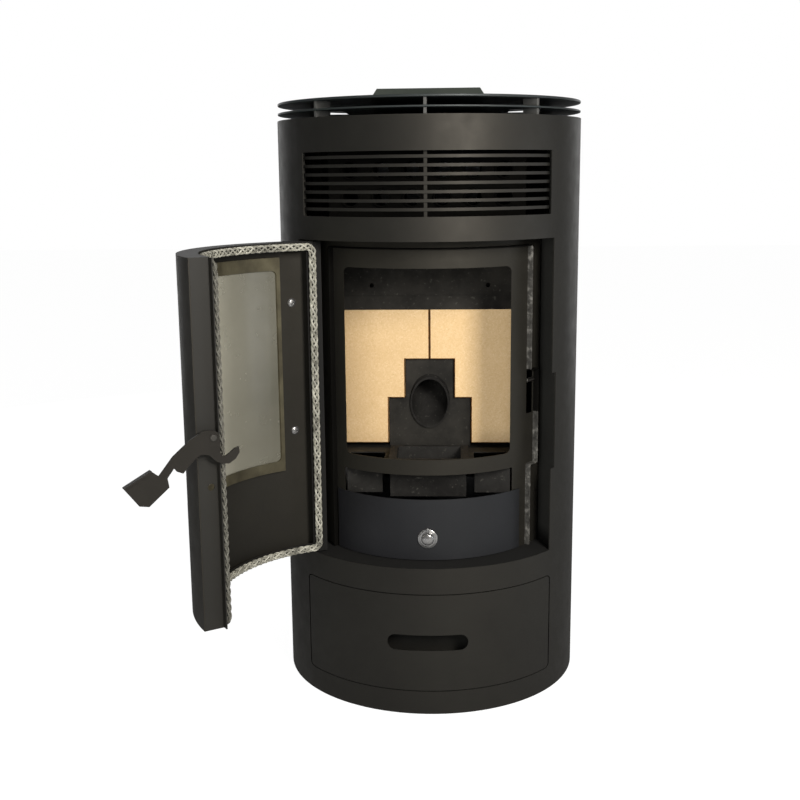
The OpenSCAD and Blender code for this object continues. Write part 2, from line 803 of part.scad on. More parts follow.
module smoke_duct() {
    back = fireback_y + brick_t + 3;
    color([0.3, 0.3, 0.3])
    difference() {
        union() {
            span([-125, back, 640], [-65, fan_y + 55, 690]);
            span([-125, fan_y, flue_z + 60], [-65, fan_y + 55, 690]);
        }
        span([-123, back - 1, 642], [-67, fan_y + 53, 688]);
        span([-123, fan_y + 2, flue_z + 50], [-67, fan_y + 53, 650]);
        translate([fan_x, fan_y - 1, flue_z]) rotate([-90, 0, 0])
            cylinder(r = fan_r + seat_gap, h = 60);
    }
}

module exhaust_fan_housing() {
    color([0.5, 0.5, 0.52])
    translate([fan_x, fan_y, flue_z])
        difference() {
            rotate([-90, 0, 0]) cylinder(r = fan_r, h = 55);
            translate([0, 3, 0]) rotate([-90, 0, 0]) cylinder(r = fan_r - 3, h = 49);
            translate([0, -1, 0]) rotate([-90, 0, 0]) cylinder(r = 9, h = 6);
            translate([0, 50, 0]) rotate([-90, 0, 0]) cylinder(r = flue_r - 2.5, h = 8);
            translate([-30, 3, 60]) cube([60, 49, 20]);
        }
}

module exhaust_impeller() {
    blades = 8;
    color([0.65, 0.65, 0.66])
    translate([fan_x, fan_y, flue_z]) {
        translate([0, 10, 0]) rotate([-90, 0, 0]) cylinder(r = 58, h = 3);
        translate([0, -28, 0]) rotate([-90, 0, 0]) cylinder(r = 6, h = 42);
        for (i = [0:blades - 1])
            rotate([0, i * 360 / blades, 0]) translate([16, 12, -1.5]) cube([40, 26, 3]);
    }
}

module exhaust_motor() {
    color([0.4, 0.4, 0.42])
    translate([fan_x, fan_y, flue_z])
        difference() {
            union() {
                translate([0, -78, 0]) rotate([-90, 0, 0]) cylinder(r = 36, h = 62);
                for (a = [45, 135, 225, 315])
                    rotate([0, a, 0]) translate([30, -16.1, 0]) rotate([-90, 0, 0])
                        cylinder(r = 4, h = 15.9);
            }
            translate([0, -30, 0]) rotate([-90, 0, 0]) cylinder(r = 6 + run_gap, h = 20);
        }
}

module flue_pipe() {
    color([0.3, 0.3, 0.3])
    translate([fan_x, 0, flue_z]) rotate([-90, 0, 0])
        difference() {
            union() {
                translate([0, 0, fan_y + 55]) cylinder(r = flue_r - 1, h = spigot_y - fan_y - 73);
                translate([0, 0, spigot_y - 43]) cylinder(r = flue_r, h = 43);
            }
            translate([0, 0, fan_y + 54]) cylinder(r = flue_r - 2.5, h = spigot_y - fan_y);
        }
}

// ---------- room air ----------

module blower_housing() {
    length = 100;
    color([0.55, 0.55, 0.56])
    translate([blower_x, blower_y, blower_z])
        difference() {
            union() {
                rotate([0, 90, 0]) cylinder(r = 62, h = length);
                translate([0, -62, 0]) cube([length, 50, 210]);
                for (x = [6, length - 16])
                    translate([x, -30, -blower_z + base_t]) cube([10, 60, 80]);
            }
            translate([2, 0, 0]) rotate([0, 90, 0]) cylinder(r = 60, h = length - 4);
            translate([2, -60, 0]) cube([length - 4, 46, 211]);
            for (x = [-1, length - 3])
                translate([x, 0, 0]) rotate([0, 90, 0]) cylinder(r = 32, h = 4);
        }
}

module blower_wheel() {
    blades = 24;
    color([0.4, 0.4, 0.42])
    translate([blower_x + 6, blower_y, blower_z]) {
        translate([-14, 0, 0]) rotate([0, 90, 0]) cylinder(r = 4, h = 126);
        for (x = [0, 86])
            translate([x, 0, 0]) rotate([0, 90, 0]) cylinder(r = 50, h = 2);
        for (i = [0:blades - 1])
            rotate([i * 360 / blades, 0, 0]) translate([1, 38, -0.75]) cube([86, 10, 1.5]);
    }
}

module blower_motor() {
    color([0.35, 0.35, 0.37])
    translate([blower_x + 100, blower_y, blower_z])
        difference() {
            union() {
                translate([8, 0, 0]) rotate([0, 90, 0]) cylinder(r = 28, h = 46);
                for (a = [45, 135, 225, 315])
                    rotate([a, 0, 0]) translate([0.2, 40, 0]) rotate([0, 90, 0])
                        cylinder(r = 3, h = 12);
                translate([8, 0, 0]) rotate([0, 90, 0]) cylinder(r = 43, h = 4);
            }
            translate([4, 0, 0]) rotate([0, 90, 0]) cylinder(r = 4 + run_gap, h = 30);
        }
}

module control_box() {
    plate_half_w = 51;
    edge_x = sqrt(pow(casing_in - seat_gap, 2) - pow(plate_half_w, 2));   // its edges reach the wall
    plate_x = tenths([edge_x])[0];
    color([0.25, 0.35, 0.28]) {
        span([plate_x - 4, -plate_half_w, 470], [plate_x, plate_half_w, 640]);
        span([plate_x - 30.6, -43, 480], [plate_x - 3.6, 43, 630]);
    }
}

// ---------- mains inlet ----------

// Built facing straight back, then turned round the casing
module power_inlet() {
    face = casing_r + 4.6;
    color([0.1, 0.1, 0.1]) rotate([0, 0, inlet_turn])
    difference() {
        union() {
            span([-24.6, face - 30, 60.4], [24.6, face - 1, 91.6]);
            span([-28, face - 4.5, 56], [28, face, 96]);
        }
        span([-20, face - 28, 64], [2, face + 1, 88]);
        span([7, face - 18, 65], [21, face + 1, 87]);
        translate([6, face - 8, 76]) rotate([0, 90, 0]) cylinder(r = 1.5 + run_gap, h = 16);
    }
    color([0.75, 0.7, 0.5]) rotate([0, 0, inlet_turn])
    for (x = [-14.5, -9, -3.5])
        span([x - 1, face - 29, 72], [x + 1, face - 14, 78]);
}

module power_switch() {
    face = casing_r + 4.6;
    color([0.5, 0.1, 0.1]) rotate([0, 0, inlet_turn]) translate([0, face - 8, 76]) {
        translate([8, 0, 0]) rotate([0, 90, 0]) cylinder(r = 6, h = 12);
        span([8, 0, -9], [20, 6, 9]);
        translate([6.2, 0, 0]) rotate([0, 90, 0]) cylinder(r = 1.5, h = 15.6);
    }
}

// ---------- drawers ----------

tray_z0 = opening_z0 + 5;
tray_z1 = 344;

module ash_drawer() {
    half = asin(ash_front_half_w / ash_front_r);
    tray_w = ash_half_w - 3;
    color([0.23, 0.24, 0.25])
    difference() {
        union() {
            translate([0, ash_front_y, 0])
                arc_wall(ash_front_r - 2.5, ash_front_r, half, ash_front_z0,
                         ash_front_z0 + ash_front_h);
            difference() {
                intersection() {
                    span([-tray_w, -plate_r - 20, tray_z0], [tray_w, -12, tray_z1]);
                    translate([0, ash_front_y, tray_z0 - 1])
                        cylinder(r = ash_front_r - 1.2, h = tray_z1);
                }
                intersection() {
                    span([-tray_w + 2, -plate_r - 20, tray_z0 + 2], [tray_w - 2, -14, tray_z1 + 1]);
                    translate([0, ash_front_y, tray_z0 - 1])
                        cylinder(r = ash_front_r - 2.2, h = tray_z1);
                }
            }
        }
        translate([0, ash_front_y - ash_front_r - 1, knob_z]) rotate([-90, 0, 0])
            cylinder(r = 5 + run_gap, h = 6);
    }
}

knob_z = 294;

module drawer_knob() {
    color([0.75, 0.75, 0.73])
    translate([0, ash_front_y - ash_front_r, knob_z]) {
        rotate([-90, 0, 0]) rotate_extrude()
            polygon([[0, -10.2], [8, -10.2], [10, -8.8], [11, -6], [11, -3.2], [16.5, -3.2],
                     [16.5, -0.2], [5, -0.2], [5, 8], [0, 8]]);
        translate([0, -5.2, 14]) rotate([-90, 0, 0]) cylinder(r = 2.2, h = 4);
        translate([-4, 4.6, 1.5]) cube([8, 2.5, 18.5]);
    }
}

module ash_runners() {
    color([0.4, 0.4, 0.4])
    for (side = [0, 1]) mirror([side, 0, 0]) {
        span([ash_half_w - 16, -142, tray_z0 - 2.2], [ash_half_w + 8, -10, tray_z0 - 0.2]);
        span([ash_half_w + 6, -142, tray_z0 - 0.3], [ash_half_w + 8, -10, floor_z - 0.2]);
    }
}

base_half_w = casing_r * sin(base_half);
base_tray_z0 = base_z0 + 7;
base_tray_z1 = slot_z + 1;

module base_drawer() {
    front_y = -casing_r + 52;
    tray_w = 138;
    color([0.2, 0.2, 0.19])
    difference() {
        intersection() {
            arc_wall(casing_in, casing_r, base_half + 1, base_z0 - 2, base_z1 + 2);
            rounded_slot(base_half_w - base_gap, base_z0 + base_gap, base_z1 - base_gap,
                         base_corner_r - base_gap, -casing_r - 5, -140);
        }
        round_end_slot(slot_half_w, slot_z, slot_h, -casing_r - 5, 30 - casing_r);
    }
    color([0.45, 0.45, 0.45])
    difference() {
        union() {
            span([-tray_w, front_y, base_tray_z0], [tray_w, -24, base_tray_z1]);
            for (side = [-1, 1])
                intersection() {
                    span([side * 110 - 12, -casing_r, base_tray_z0 + 8],
                         [side * 110 + 12, front_y + 1, base_tray_z0 + 20]);
                    cylinder(r = casing_in + 0.5, h = casing_h);
                }
        }
        span([-tray_w + 2, front_y + 2, base_tray_z0 + 2], [tray_w - 2, -26, base_tray_z1 + 1]);
    }
}

module base_runners() {
    color([0.4, 0.4, 0.4])
    for (side = [0, 1]) mirror([side, 0, 0]) {
        span([118, 60 - casing_r, base_tray_z0 - 2.2], [146, -20, base_tray_z0 - 0.2]);
        span([144, 60 - casing_r, base_t], [146, -20, base_tray_z0 - 2.2]);
    }
}

// ---------- door ----------

pin_len = 22;

module hinge_pins() {
    color([0.6, 0.6, 0.6])
    for (z = [opening_z0 - 6, opening_z1 + 6 - pin_len])
        translate([hinge_x, hinge_y, z]) cylinder(r = hinge_pin_r, h = pin_len);
}

module window_cut(margin, corner_r) {
    rounded_slot(window_half_w + margin, window_z0 - margin, window_z1 + margin, corner_r,
                 -casing_r - 5, -200);
}

module door_skin() {
    color([0.2, 0.2, 0.19])
    on_door()
        difference() {
            arc_wall(casing_r - door_t, casing_r, door_span, door_z0, door_z1, door_mid);
            window_cut(0, 10);
        }
}

module door_frame() {
    in_r = casing_r - door_t - 0.1;
    flange_a = 0.4;
    right_edge = seal_right + seal_span / 2;
    seat_half = (seal_right - seal_left - seal_span) / 2 - 0.3;
    block_h = 16;
    color([0.2, 0.2, 0.19])
    on_door()
        difference() {
            union() {
                difference() {
                    arc_wall(seal_back_r, in_r, door_span, door_z0, door_z1, door_mid);
                    arc_wall(seal_back_r + door_t, in_r + 1, door_span - flange_a,
                             door_z0 + door_t, door_z1 - door_t, door_mid);
                    arc_wall(seal_back_r - 1, seal_back_r + door_t + 1, seat_half,
                             door_z0 + seal_w + 1, door_z1 - seal_w - 1,
                             (seal_right + seal_left) / 2);
                }
                arc_wall(seal_back_r + 0.1, seal_back_r + door_t - 0.1,
                         (right_edge - door_half + 1) / 2, door_z0 + 0.5, door_z1 - 0.5,
                         (right_edge + door_half - 1) / 2);
                for (z = [door_z0 + 0.5, door_z1 - block_h - 0.5])
                    translate([hinge_x, hinge_y, z]) cylinder(r = 7.5, h = block_h);
            }
            for (z = [door_z0 - 1, door_z1 - block_h - 1])
                translate([hinge_x, hinge_y, z])
                    cylinder(r = hinge_pin_r + run_gap, h = block_h + 2);
            at_latch() translate([0, -73, -6]) cylinder(r = 5, h = 12);
        }
}

panel_r = casing_r - door_t - 5;

module door_panel() {
    color([0.22, 0.22, 0.22])
    on_door()
        difference() {
            arc_wall(panel_r - 1.5, panel_r, door_span - 0.5, door_z0 + door_t + 0.3,
                     door_z1 - door_t - 0.3, door_mid);
            window_cut(0, 10);
            for (z = [door_z0, door_z1 - 16])
                translate([hinge_x, hinge_y, z - 1]) cylinder(r = 8, h = 18);
        }
}

module door_glass() {
    color([0.75, 0.75, 0.7, 0.5])
    on_door() {
        half = asin((window_half_w + 6) / panel_r);
        arc_wall(panel_r - 2 - glass_t, panel_r - 1.8, half, window_z0 - 8, window_z1 + 8);
    }
}

module glass_frame() {
    out = asin((window_half_w + 9) / panel_r);
    r1 = panel_r - 2.3 - glass_t;
    color([0.42, 0.36, 0.28])
    on_door()
        difference() {
            arc_wall(r1 - 2, r1, out, window_z0 - 16, window_z1 + 20);
            window_cut(-1, 8);
        }
}

module door_screws() {
    screw_a = asin((window_half_w + 27) / panel_r);
    color([0.8, 0.8, 0.78])
    on_door()
        for (side = [-1, 1], z = [window_z0 + 49, window_z1 - 55])
            rotate([0, 0, side * screw_a])
                translate([0, -panel_r + 1.7, z]) rotate([-90, 0, 0])
                    cylinder(r1 = 5, r2 = 4, h = 3.5);
}

module rope_seal() {
    z0 = door_z0 + 1;
    z1 = door_z1 - 1;
    span_half = (seal_right - seal_left + seal_span) / 2;
    mid = (seal_right + seal_left) / 2;
    color([0.45, 0.45, 0.42])
    on_door()
        difference() {
            arc_wall(seal_face_r, seal_back_r - 0.1, span_half, z0, z1, mid);
            arc_wall(seal_face_r - 5, seal_back_r + 5, span_half - seal_span,
                     z0 + seal_w, z1 - seal_w, mid);
        }
}

// Outline of the latch lever: outwards from the pivot, then upwards
lever_outline = [
    [-7, 6.4], [-3, 9.5], [10, 11.2], [14.5, 10.9], [33.5, 0.7], [58.3, -18.6], [78.7, -42.3],
    [89.7, -33.5], [127.8, -52], [107.2, -79.5], [94.1, -82.3], [65.1, -59.8], [67, -46.9],
    [57.3, -34.6], [53.2, -39.9], [44.9, -43.6], [35.2, -33.4], [23.6, -23.4], [17.9, -21.3],
    [6.7, -23.5], [-2.3, -33.2], [-11.6, -37.5], [-21.2, -38.8], [-31, -33.5], [-37.2, -25.1],
    [-36.7, -16.9], [-29.7, -18.5], [-21.7, -24.8], [-13.9, -28.6], [-8.5, -21.2], [-9.3, -3]
];
grip_edge = [[89.7, -33.5], [127.8, -52]];

module latch_handle() {
    edge = grip_edge[1] - grip_edge[0];
    lip_h = 9;
    color([0.2, 0.2, 0.19])
    on_door() at_latch()
        difference() {
            union() {
                translate([0, 0, latch_standoff]) linear_extrude(latch_t)
                    polygon(lever_outline);
                translate([grip_edge[0][0], grip_edge[0][1], latch_standoff])
                    rotate([0, 0, atan2(edge[1], edge[0])])
                        translate([0, -1, 0]) cube([norm(edge), 2.5, lip_h]);
            }
            translate([0, 0, latch_standoff - 1])
                cylinder(r = latch_pin_r + run_gap, h = latch_t + 2);
        }
}

module latch_pivot() {
    color([0.6, 0.6, 0.58])
    on_door() at_latch() {
        cylinder(r = 6, h = latch_standoff - 0.1);
        cylinder(r = latch_pin_r, h = latch_standoff + latch_t + 1);
        translate([0, 0, latch_standoff + latch_t + 0.2]) cylinder(r1 = 5.5, r2 = 4, h = 2.2);
    }
}

base_plate();
chassis_posts();
front_casing();
rear_casing();
top_deck();
lower_disc();
lower_spacers();
top_disc();
upper_spacers();
hopper();
hopper_lid();
lid_hinge();
hopper_guard();
outlet_grille();
exchanger_tubes();
exchanger_plates();
recess_surround();
front_plate();
seal_ridge();
latch_keeper();
firebox_shell();
fireback_left();
fireback_right();
lintel_plate();
burner_plate();
pellet_chute();
burn_pot();
pot_holder();
air_box();
air_inlet_pipe();
igniter();
auger_housing();
auger_screw();
auger_motor();
smoke_duct();
exhaust_fan_housing();
exhaust_impeller();
exhaust_motor();
flue_pipe();
blower_housing();
blower_wheel();
blower_motor();
control_box();
power_inlet();
power_switch();
ash_drawer();
drawer_knob();
ash_runners();
base_drawer();
base_runners();
hinge_pins();
door_skin();
door_frame();
door_panel();
door_glass();
glass_frame();
door_screws();
rope_seal();
latch_handle();
latch_pivot();
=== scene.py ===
"""Looks of a round pellet stove whose glazed door stands open.

Lengths are in metres unless a name ends in _MM. The front faces -Y and +Z is up. Angles round the
stove are measured from the front towards +X, as they are in the frame.
"""

import json
import math

import bmesh
import bpy
import numpy as np
from mathutils import Matrix, Vector, noise


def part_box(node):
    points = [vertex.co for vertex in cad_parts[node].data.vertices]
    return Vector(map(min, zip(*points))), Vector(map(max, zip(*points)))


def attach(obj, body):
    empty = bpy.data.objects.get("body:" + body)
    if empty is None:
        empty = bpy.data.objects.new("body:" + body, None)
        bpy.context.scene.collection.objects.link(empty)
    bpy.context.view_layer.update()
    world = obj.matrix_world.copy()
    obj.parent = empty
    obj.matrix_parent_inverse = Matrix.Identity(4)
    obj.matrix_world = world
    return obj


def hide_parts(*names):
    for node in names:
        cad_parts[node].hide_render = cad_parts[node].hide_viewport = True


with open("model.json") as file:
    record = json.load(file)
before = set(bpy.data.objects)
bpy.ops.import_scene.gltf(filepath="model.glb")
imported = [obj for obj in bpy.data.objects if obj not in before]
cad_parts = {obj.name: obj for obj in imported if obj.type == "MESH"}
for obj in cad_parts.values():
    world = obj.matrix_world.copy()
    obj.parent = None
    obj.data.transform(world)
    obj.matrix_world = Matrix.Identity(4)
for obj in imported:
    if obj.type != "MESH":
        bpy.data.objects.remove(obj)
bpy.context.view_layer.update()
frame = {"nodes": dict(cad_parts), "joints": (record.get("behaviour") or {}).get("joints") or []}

MM = 0.001
NODES = frame["nodes"]
JOINTS = {joint["name"]: joint for joint in frame["joints"]}

# The photograph's camera
PHOTO_PX = 800
FOCAL_PX = 1138.1
SENSOR_MM = 36.0
CAMERA_AT_MM = (44.5, -2021.7, 886.4)
CAMERA_TURN = math.radians(2.80)      # to the left of straight back
CAMERA_PITCH = math.radians(11.245)   # below the horizon
CAMERA_ROLL = math.radians(-0.566)
CAMERA_REACH = 50.0

# The door's own place: it is drawn closed, then turned open about its hinge
DOOR_HINGE = Vector(JOINTS["door_swing"]["pos_m"])
DOOR_OPEN = math.radians(-JOINTS["door_swing"]["range_deg"][0])
DOOR_TURN = (
    Matrix.Translation(DOOR_HINGE) @ Matrix.Rotation(-DOOR_OPEN, 4, "Z") @ Matrix.Translation(-DOOR_HINGE)
)


def linear(*rgb):
    """An sRGB colour given as 0 to 255, as a linear RGBA tuple."""
    values = [c / 255 for c in rgb]
    values = [c / 12.92 if c <= 0.04045 else ((c + 0.055) / 1.055) ** 2.4 for c in values]
    return (*values, 1.0)


def scaled(color, times):
    """A colour made lighter or darker."""
    return tuple(min(1.0, c * times) for c in color[:3]) + (1.0,)


# ---------- camera, light and ground ----------


def make_camera():
    turn, pitch, roll = CAMERA_TURN, CAMERA_PITCH, CAMERA_ROLL
    look = Vector(
        (-math.sin(turn) * math.cos(pitch), math.cos(turn) * math.cos(pitch), -math.sin(pitch))
    )
    level = Vector((math.cos(turn), math.sin(turn), 0.0))
    above = level.cross(look)
    right = level * math.cos(roll) + above * math.sin(roll)
    up = above * math.cos(roll) - level * math.sin(roll)
    data = bpy.data.cameras.new("camera")
    data.sensor_width = SENSOR_MM
    data.lens = FOCAL_PX * SENSOR_MM / PHOTO_PX
    data.clip_end = CAMERA_REACH
    camera = bpy.data.objects.new("camera", data)
    axes = Matrix((right, up, -look)).transposed().to_4x4()
    camera.matrix_world = Matrix.Translation(Vector(CAMERA_AT_MM) * MM) @ axes
    bpy.context.scene.collection.objects.link(camera)
    bpy.context.scene.camera = camera


def area_light(name, at, aim, size, power, color=(1.0, 1.0, 1.0)):
    data = bpy.data.lights.new(name, "AREA")
    data.shape = "RECTANGLE"
    data.size, data.size_y = size
    data.energy = power
    data.color = color
    lamp = bpy.data.objects.new(name, data)
    lamp.location = at
    lamp.rotation_euler = (Vector(aim) - Vector(at)).to_track_quat("-Z", "Y").to_euler()
    bpy.context.scene.collection.objects.link(lamp)
    return lamp


def make_lights():
    middle = (0.0, 0.0, 0.55)
    area_light("key", (0.95, -2.05, 1.5), middle, (0.5, 0.9), 50, (1.0, 0.95, 0.88))
    area_light("right_fill", (2.3, -0.5, 0.7), middle, (0.9, 1.4), 8, (0.9, 0.94, 1.0))
    front = area_light("front_fill", (-0.5, -2.25, 0.75), (0.0, 0.0, 0.5), (1.4, 1.0), 34)
    front.visible_glossy = False
    for side in (-1, 1):
        rim = area_light("rim", (side * 1.6, 2.2, 0.9), middle, (0.6, 1.8), 6)
        rim.visible_camera = False


def math_node(tree, operation, first, second=0.0, third=None):
    node = tree.nodes.new("ShaderNodeMath")
    node.operation = operation
    for index, value in enumerate((first, second, third)):
        if value is None:
            continue
        if isinstance(value, (int, float)):
            node.inputs[index].default_value = value
        else:
            tree.links.new(value, node.inputs[index])
    return node.outputs["Value"]


def seen_straight(tree, paths):
    """1 where something is looked at, also through glass, and 0 where it only lights or mirrors."""
    return math_node(tree, "MAXIMUM", paths.outputs["Is Camera Ray"], paths.outputs["Is Transmission Ray"])


def make_world():
    """White to look at and through; what mirrors it sees a white backdrop and a dim room in front."""
    ambient = 0.36
    room = 0.03
    backdrop_light = 0.85
    backdrop_narrowing = 2.2              # how fast the backdrop dims away from straight behind
    world = bpy.data.worlds.new("studio")
    world.use_nodes = True
    tree = world.node_tree
    tree.nodes.clear()
    paths = tree.nodes.new("ShaderNodeLightPath")
    towards = tree.nodes.new("ShaderNodeSeparateXYZ")
    tree.links.new(tree.nodes.new("ShaderNodeTexCoord").outputs["Generated"], towards.inputs["Vector"])
    behind = math_node(tree, "MAXIMUM", towards.outputs["Y"], 0.0)
    narrowed = math_node(tree, "POWER", behind, backdrop_narrowing)
    backdrop = math_node(tree, "MAXIMUM", math_node(tree, "MULTIPLY", narrowed, backdrop_light), room)
    shine = math_node(tree, "MULTIPLY", paths.outputs["Is Glossy Ray"], backdrop)
    white = math_node(tree, "MAXIMUM", seen_straight(tree, paths), shine)
    plain = math_node(tree, "MULTIPLY", paths.outputs["Is Diffuse Ray"], ambient)
    background = tree.nodes.new("ShaderNodeBackground")
    background.inputs["Color"].default_value = (1.0, 1.0, 1.0, 1.0)
    output = tree.nodes.new("ShaderNodeOutputWorld")
    tree.links.new(math_node(tree, "MAXIMUM", white, plain), background.inputs["Strength"])
    tree.links.new(background.outputs["Background"], output.inputs["Surface"])
    bpy.context.scene.world = world


def make_floor():
    """A white ground that keeps the stove's shadow."""
    reach = 12.0
    below = 0.5 * MM                      # clear of the stove's underside
    white = 0.9
    mirrored = 0.07                       # how white it is to what mirrors it
    grey = 0.24                           # its own colour, which takes the shadow
    mesh = bpy.data.meshes.new("floor")
    corners = [(-reach, -reach, 0), (reach, -reach, 0), (reach, reach, 0), (-reach, reach, 0)]
    mesh.from_pydata(corners, [], [(0, 1, 2, 3)])
    floor = bpy.data.objects.new("floor", mesh)
    floor.location.z = -below
    bpy.context.scene.collection.objects.link(floor)
    material = bpy.data.materials.new("floor_white")
    material.use_nodes = True
    tree = material.node_tree
    tree.nodes.clear()
    paths = tree.nodes.new("ShaderNodeLightPath")
    shine = math_node(tree, "MULTIPLY", paths.outputs["Is Glossy Ray"], mirrored)
    seen = math_node(tree, "MAXIMUM", seen_straight(tree, paths), shine)
    glow = tree.nodes.new("ShaderNodeEmission")
    tree.links.new(math_node(tree, "MULTIPLY", seen, white), glow.inputs["Strength"])
    matt = tree.nodes.new("ShaderNodeBsdfDiffuse")
    matt.inputs["Color"].default_value = (grey, grey, grey, 1.0)
    both = tree.nodes.new("ShaderNodeAddShader")
    output = tree.nodes.new("ShaderNodeOutputMaterial")
    tree.links.new(glow.outputs["Emission"], both.inputs[0])
    tree.links.new(matt.outputs["BSDF"], both.inputs[1])
    tree.links.new(both.outputs["Shader"], output.inputs["Surface"])
    mesh.materials.append(material)


# ---------- materials ----------


class Finish:
    """A material built up from textures in the piece's own space round one Principled shader."""

    def __init__(self, name, roughness, metallic, shine):
        self.material = bpy.data.materials.new(name)
        self.material.use_nodes = True
        self.tree = self.material.node_tree
        self.shader = self.tree.nodes["Principled BSDF"]
        self.shader.inputs["Roughness"].default_value = roughness
        self.shader.inputs["Metallic"].default_value = metallic
        self.shader.inputs["Specular IOR Level"].default_value = shine
        self.place = self.tree.nodes.new("ShaderNodeTexCoord").outputs["Object"]

    def link(self, value, socket):
        self.tree.links.new(value, self.shader.inputs[socket])

    def sum(self, operation, first, second=0.0, third=None):
        return math_node(self.tree, operation, first, second, third)

    def stretched(self, scale):
        """The piece's own coordinates, stretched by a scale along each axis."""
        node = self.tree.nodes.new("ShaderNodeMapping")
        node.inputs["Scale"].default_value = scale
        self.tree.links.new(self.place, node.inputs["Vector"])
        return node.outputs["Vector"]

    def noise(self, scale, detail, roughness=0.55, vector=None):
        node = self.tree.nodes.new("ShaderNodeTexNoise")
        node.inputs["Scale"].default_value = scale
        node.inputs["Detail"].default_value = detail
        node.inputs["Roughness"].default_value = roughness
        self.tree.links.new(vector or self.place, node.inputs["Vector"])
        return node.outputs["Fac"]

    def cells(self, scale):
        """Flat patches, each with its own tone."""
        node = self.tree.nodes.new("ShaderNodeTexVoronoi")
        node.inputs["Scale"].default_value = scale
        self.tree.links.new(self.place, node.inputs["Vector"])
        return node.outputs["Color"]

    def ramp(self, value, *stops):
        """Colours along a value; each stop is (place, colour)."""
        node = self.tree.nodes.new("ShaderNodeValToRGB")
        marks = node.color_ramp.elements
        while len(marks) < len(stops):
            marks.new(0.5)
        for mark, (at, color) in zip(marks, stops):
            mark.position = at
            mark.color = color
        self.tree.links.new(value, node.inputs["Fac"])
        return node.outputs["Color"]

    def between(self, value, low, high, start, end):
        """A number that runs from start to end while value runs from low to high."""
        node = self.tree.nodes.new("ShaderNodeMapRange")
        for socket, number in zip(("From Min", "From Max", "To Min", "To Max"), (low, high, start, end)):
            node.inputs[socket].default_value = number
        self.tree.links.new(value, node.inputs["Value"])
        return node.outputs["Result"]

    def mix(self, factor, first, second):
        node = self.tree.nodes.new("ShaderNodeMix")
        node.data_type = "RGBA"
        for socket, value in zip((0, 6, 7), (factor, first, second)):
            if isinstance(value, (tuple, float)):
                node.inputs[socket].default_value = value
            else:
                self.tree.links.new(value, node.inputs[socket])
        return node.outputs[2]

    def axis_darkening(self, soot, most):
        """0 to most along an axis; soot gives the axis, where the darkening starts and where it is fullest.
        On the recess, the channel and the glass this is painted shade.
        """
        axis, palest, darkest = soot
        node = self.tree.nodes.new("ShaderNodeSeparateXYZ")
        self.tree.links.new(self.place, node.inputs["Vector"])
        return self.between(node.outputs[axis], palest, darkest, 0.0, most)

    def color(self, value, *stops):
        """Makes the surface's colour follow a value through a ramp."""
        self.link(self.ramp(value, *stops), "Base Color")

    def roughness(self, texture, low, high):
        """Makes the surface's roughness follow a texture."""
        self.link(self.between(texture, 0.3, 0.7, low, high), "Roughness")

    def bump(self, height, depth, strength):
        """Relief whose full height is depth."""
        node = self.tree.nodes.new("ShaderNodeBump")
        node.inputs["Strength"].default_value = strength
        node.inputs["Distance"].default_value = depth
        self.tree.links.new(height, node.inputs["Height"])
        self.tree.links.new(node.outputs["Normal"], self.shader.inputs["Normal"])


WARM_SHEEN = (1.0, 0.94, 0.84, 1.0)
COOL_SHEEN = (0.9, 0.96, 1.0, 1.0)

# Where each piece darkens, at rest: the axis, where the darkening starts and where it is fullest. On the
# recess, the channel and the glass this is painted shade.
RECESS_SHADE = ("Z", 0.285, 0.262)         # painted shade on the recess's floor
CHANNEL_SHADE = ("Y", -0.21, -0.188)       # painted shade by the door's hinge
GLASS_SHADE = ("Y", -0.30, -0.21)          # painted shade by the door's hinge; the paler free side is a painted highlight
ROPE_DARKENING = ("Y", -0.34, -0.50)           # darker by the door's free edge


def orange_peel(finish):
    finish.bump(finish.noise(900.0, 2.0), 0.12 * MM, 0.35)


def stove_paint(name, color, lighter, roughness, shine, sheen=WARM_SHEEN):
    """Heat-proof paint: a fine orange-peel grain, faint clouds and a few pale specks of dust."""
    finish = Finish(name, roughness, 0.0, shine)
    finish.shader.inputs["Specular Tint"].default_value = sheen
    tone = finish.ramp(finish.noise(9.0, 4.0), (0.3, color), (0.75, lighter))
    dust = finish.between(finish.noise(420.0, 2.0), 0.70, 0.78, 0.0, 0.35)
    finish.link(finish.mix(dust, tone, scaled(lighter, 2.4)), "Base Color")
    finish.roughness(finish.noise(34.0, 5.0), roughness - 0.05, roughness + 0.06)
    orange_peel(finish)
    return finish.material


def sooty_steel(name, color, soot, roughness=0.75):
    """Painted steel inside the fire, with soot and grey ash dust."""
    finish = Finish(name, roughness, 0.0, 0.35)
    clouds = finish.noise(14.0, 6.0, 0.65)
    tone = finish.ramp(clouds, (0.35, soot), (0.65, color))
    ash = finish.between(finish.noise(160.0, 4.0), 0.62, 0.75, 0.0, 0.5)
    finish.link(finish.mix(ash, tone, linear(84, 82, 76)), "Base Color")
    finish.roughness(clouds, roughness + 0.1, roughness - 0.1)
    finish.bump(finish.noise(520.0, 4.0), 0.25 * MM, 0.5)
    return finish.material


def paint_with_painted_shade(name, color, lighter, roughness, soot):
    """Paint darkened towards near black along one axis, and rougher there: painted shade."""
    finish = Finish(name, roughness, 0.0, 0.45)
    tone = finish.ramp(finish.noise(9.0, 4.0), (0.3, color), (0.75, lighter))
    # How far the painted shade darkens the paint along the axis
    axis_darkening = finish.axis_darkening(soot, 0.85)
    finish.link(finish.mix(axis_darkening, tone, linear(6, 6, 6)), "Base Color")
    finish.link(finish.sum("MULTIPLY_ADD", axis_darkening, 0.3, roughness), "Roughness")
    orange_peel(finish)
    return finish.material


def zinc_steel():
    """Zinc-plated sheet, with the crystal pattern of hot-dip coating."""
    finish = Finish("zinc_steel", 0.42, 0.9, 0.5)
    finish.color(finish.cells(60.0), (0.1, linear(132, 134, 136)), (0.9, linear(178, 180, 182)))
    finish.roughness(finish.noise(55.0, 3.0), 0.34, 0.52)
    finish.bump(finish.noise(300.0, 3.0), 0.08 * MM, 0.3)
    return finish.material


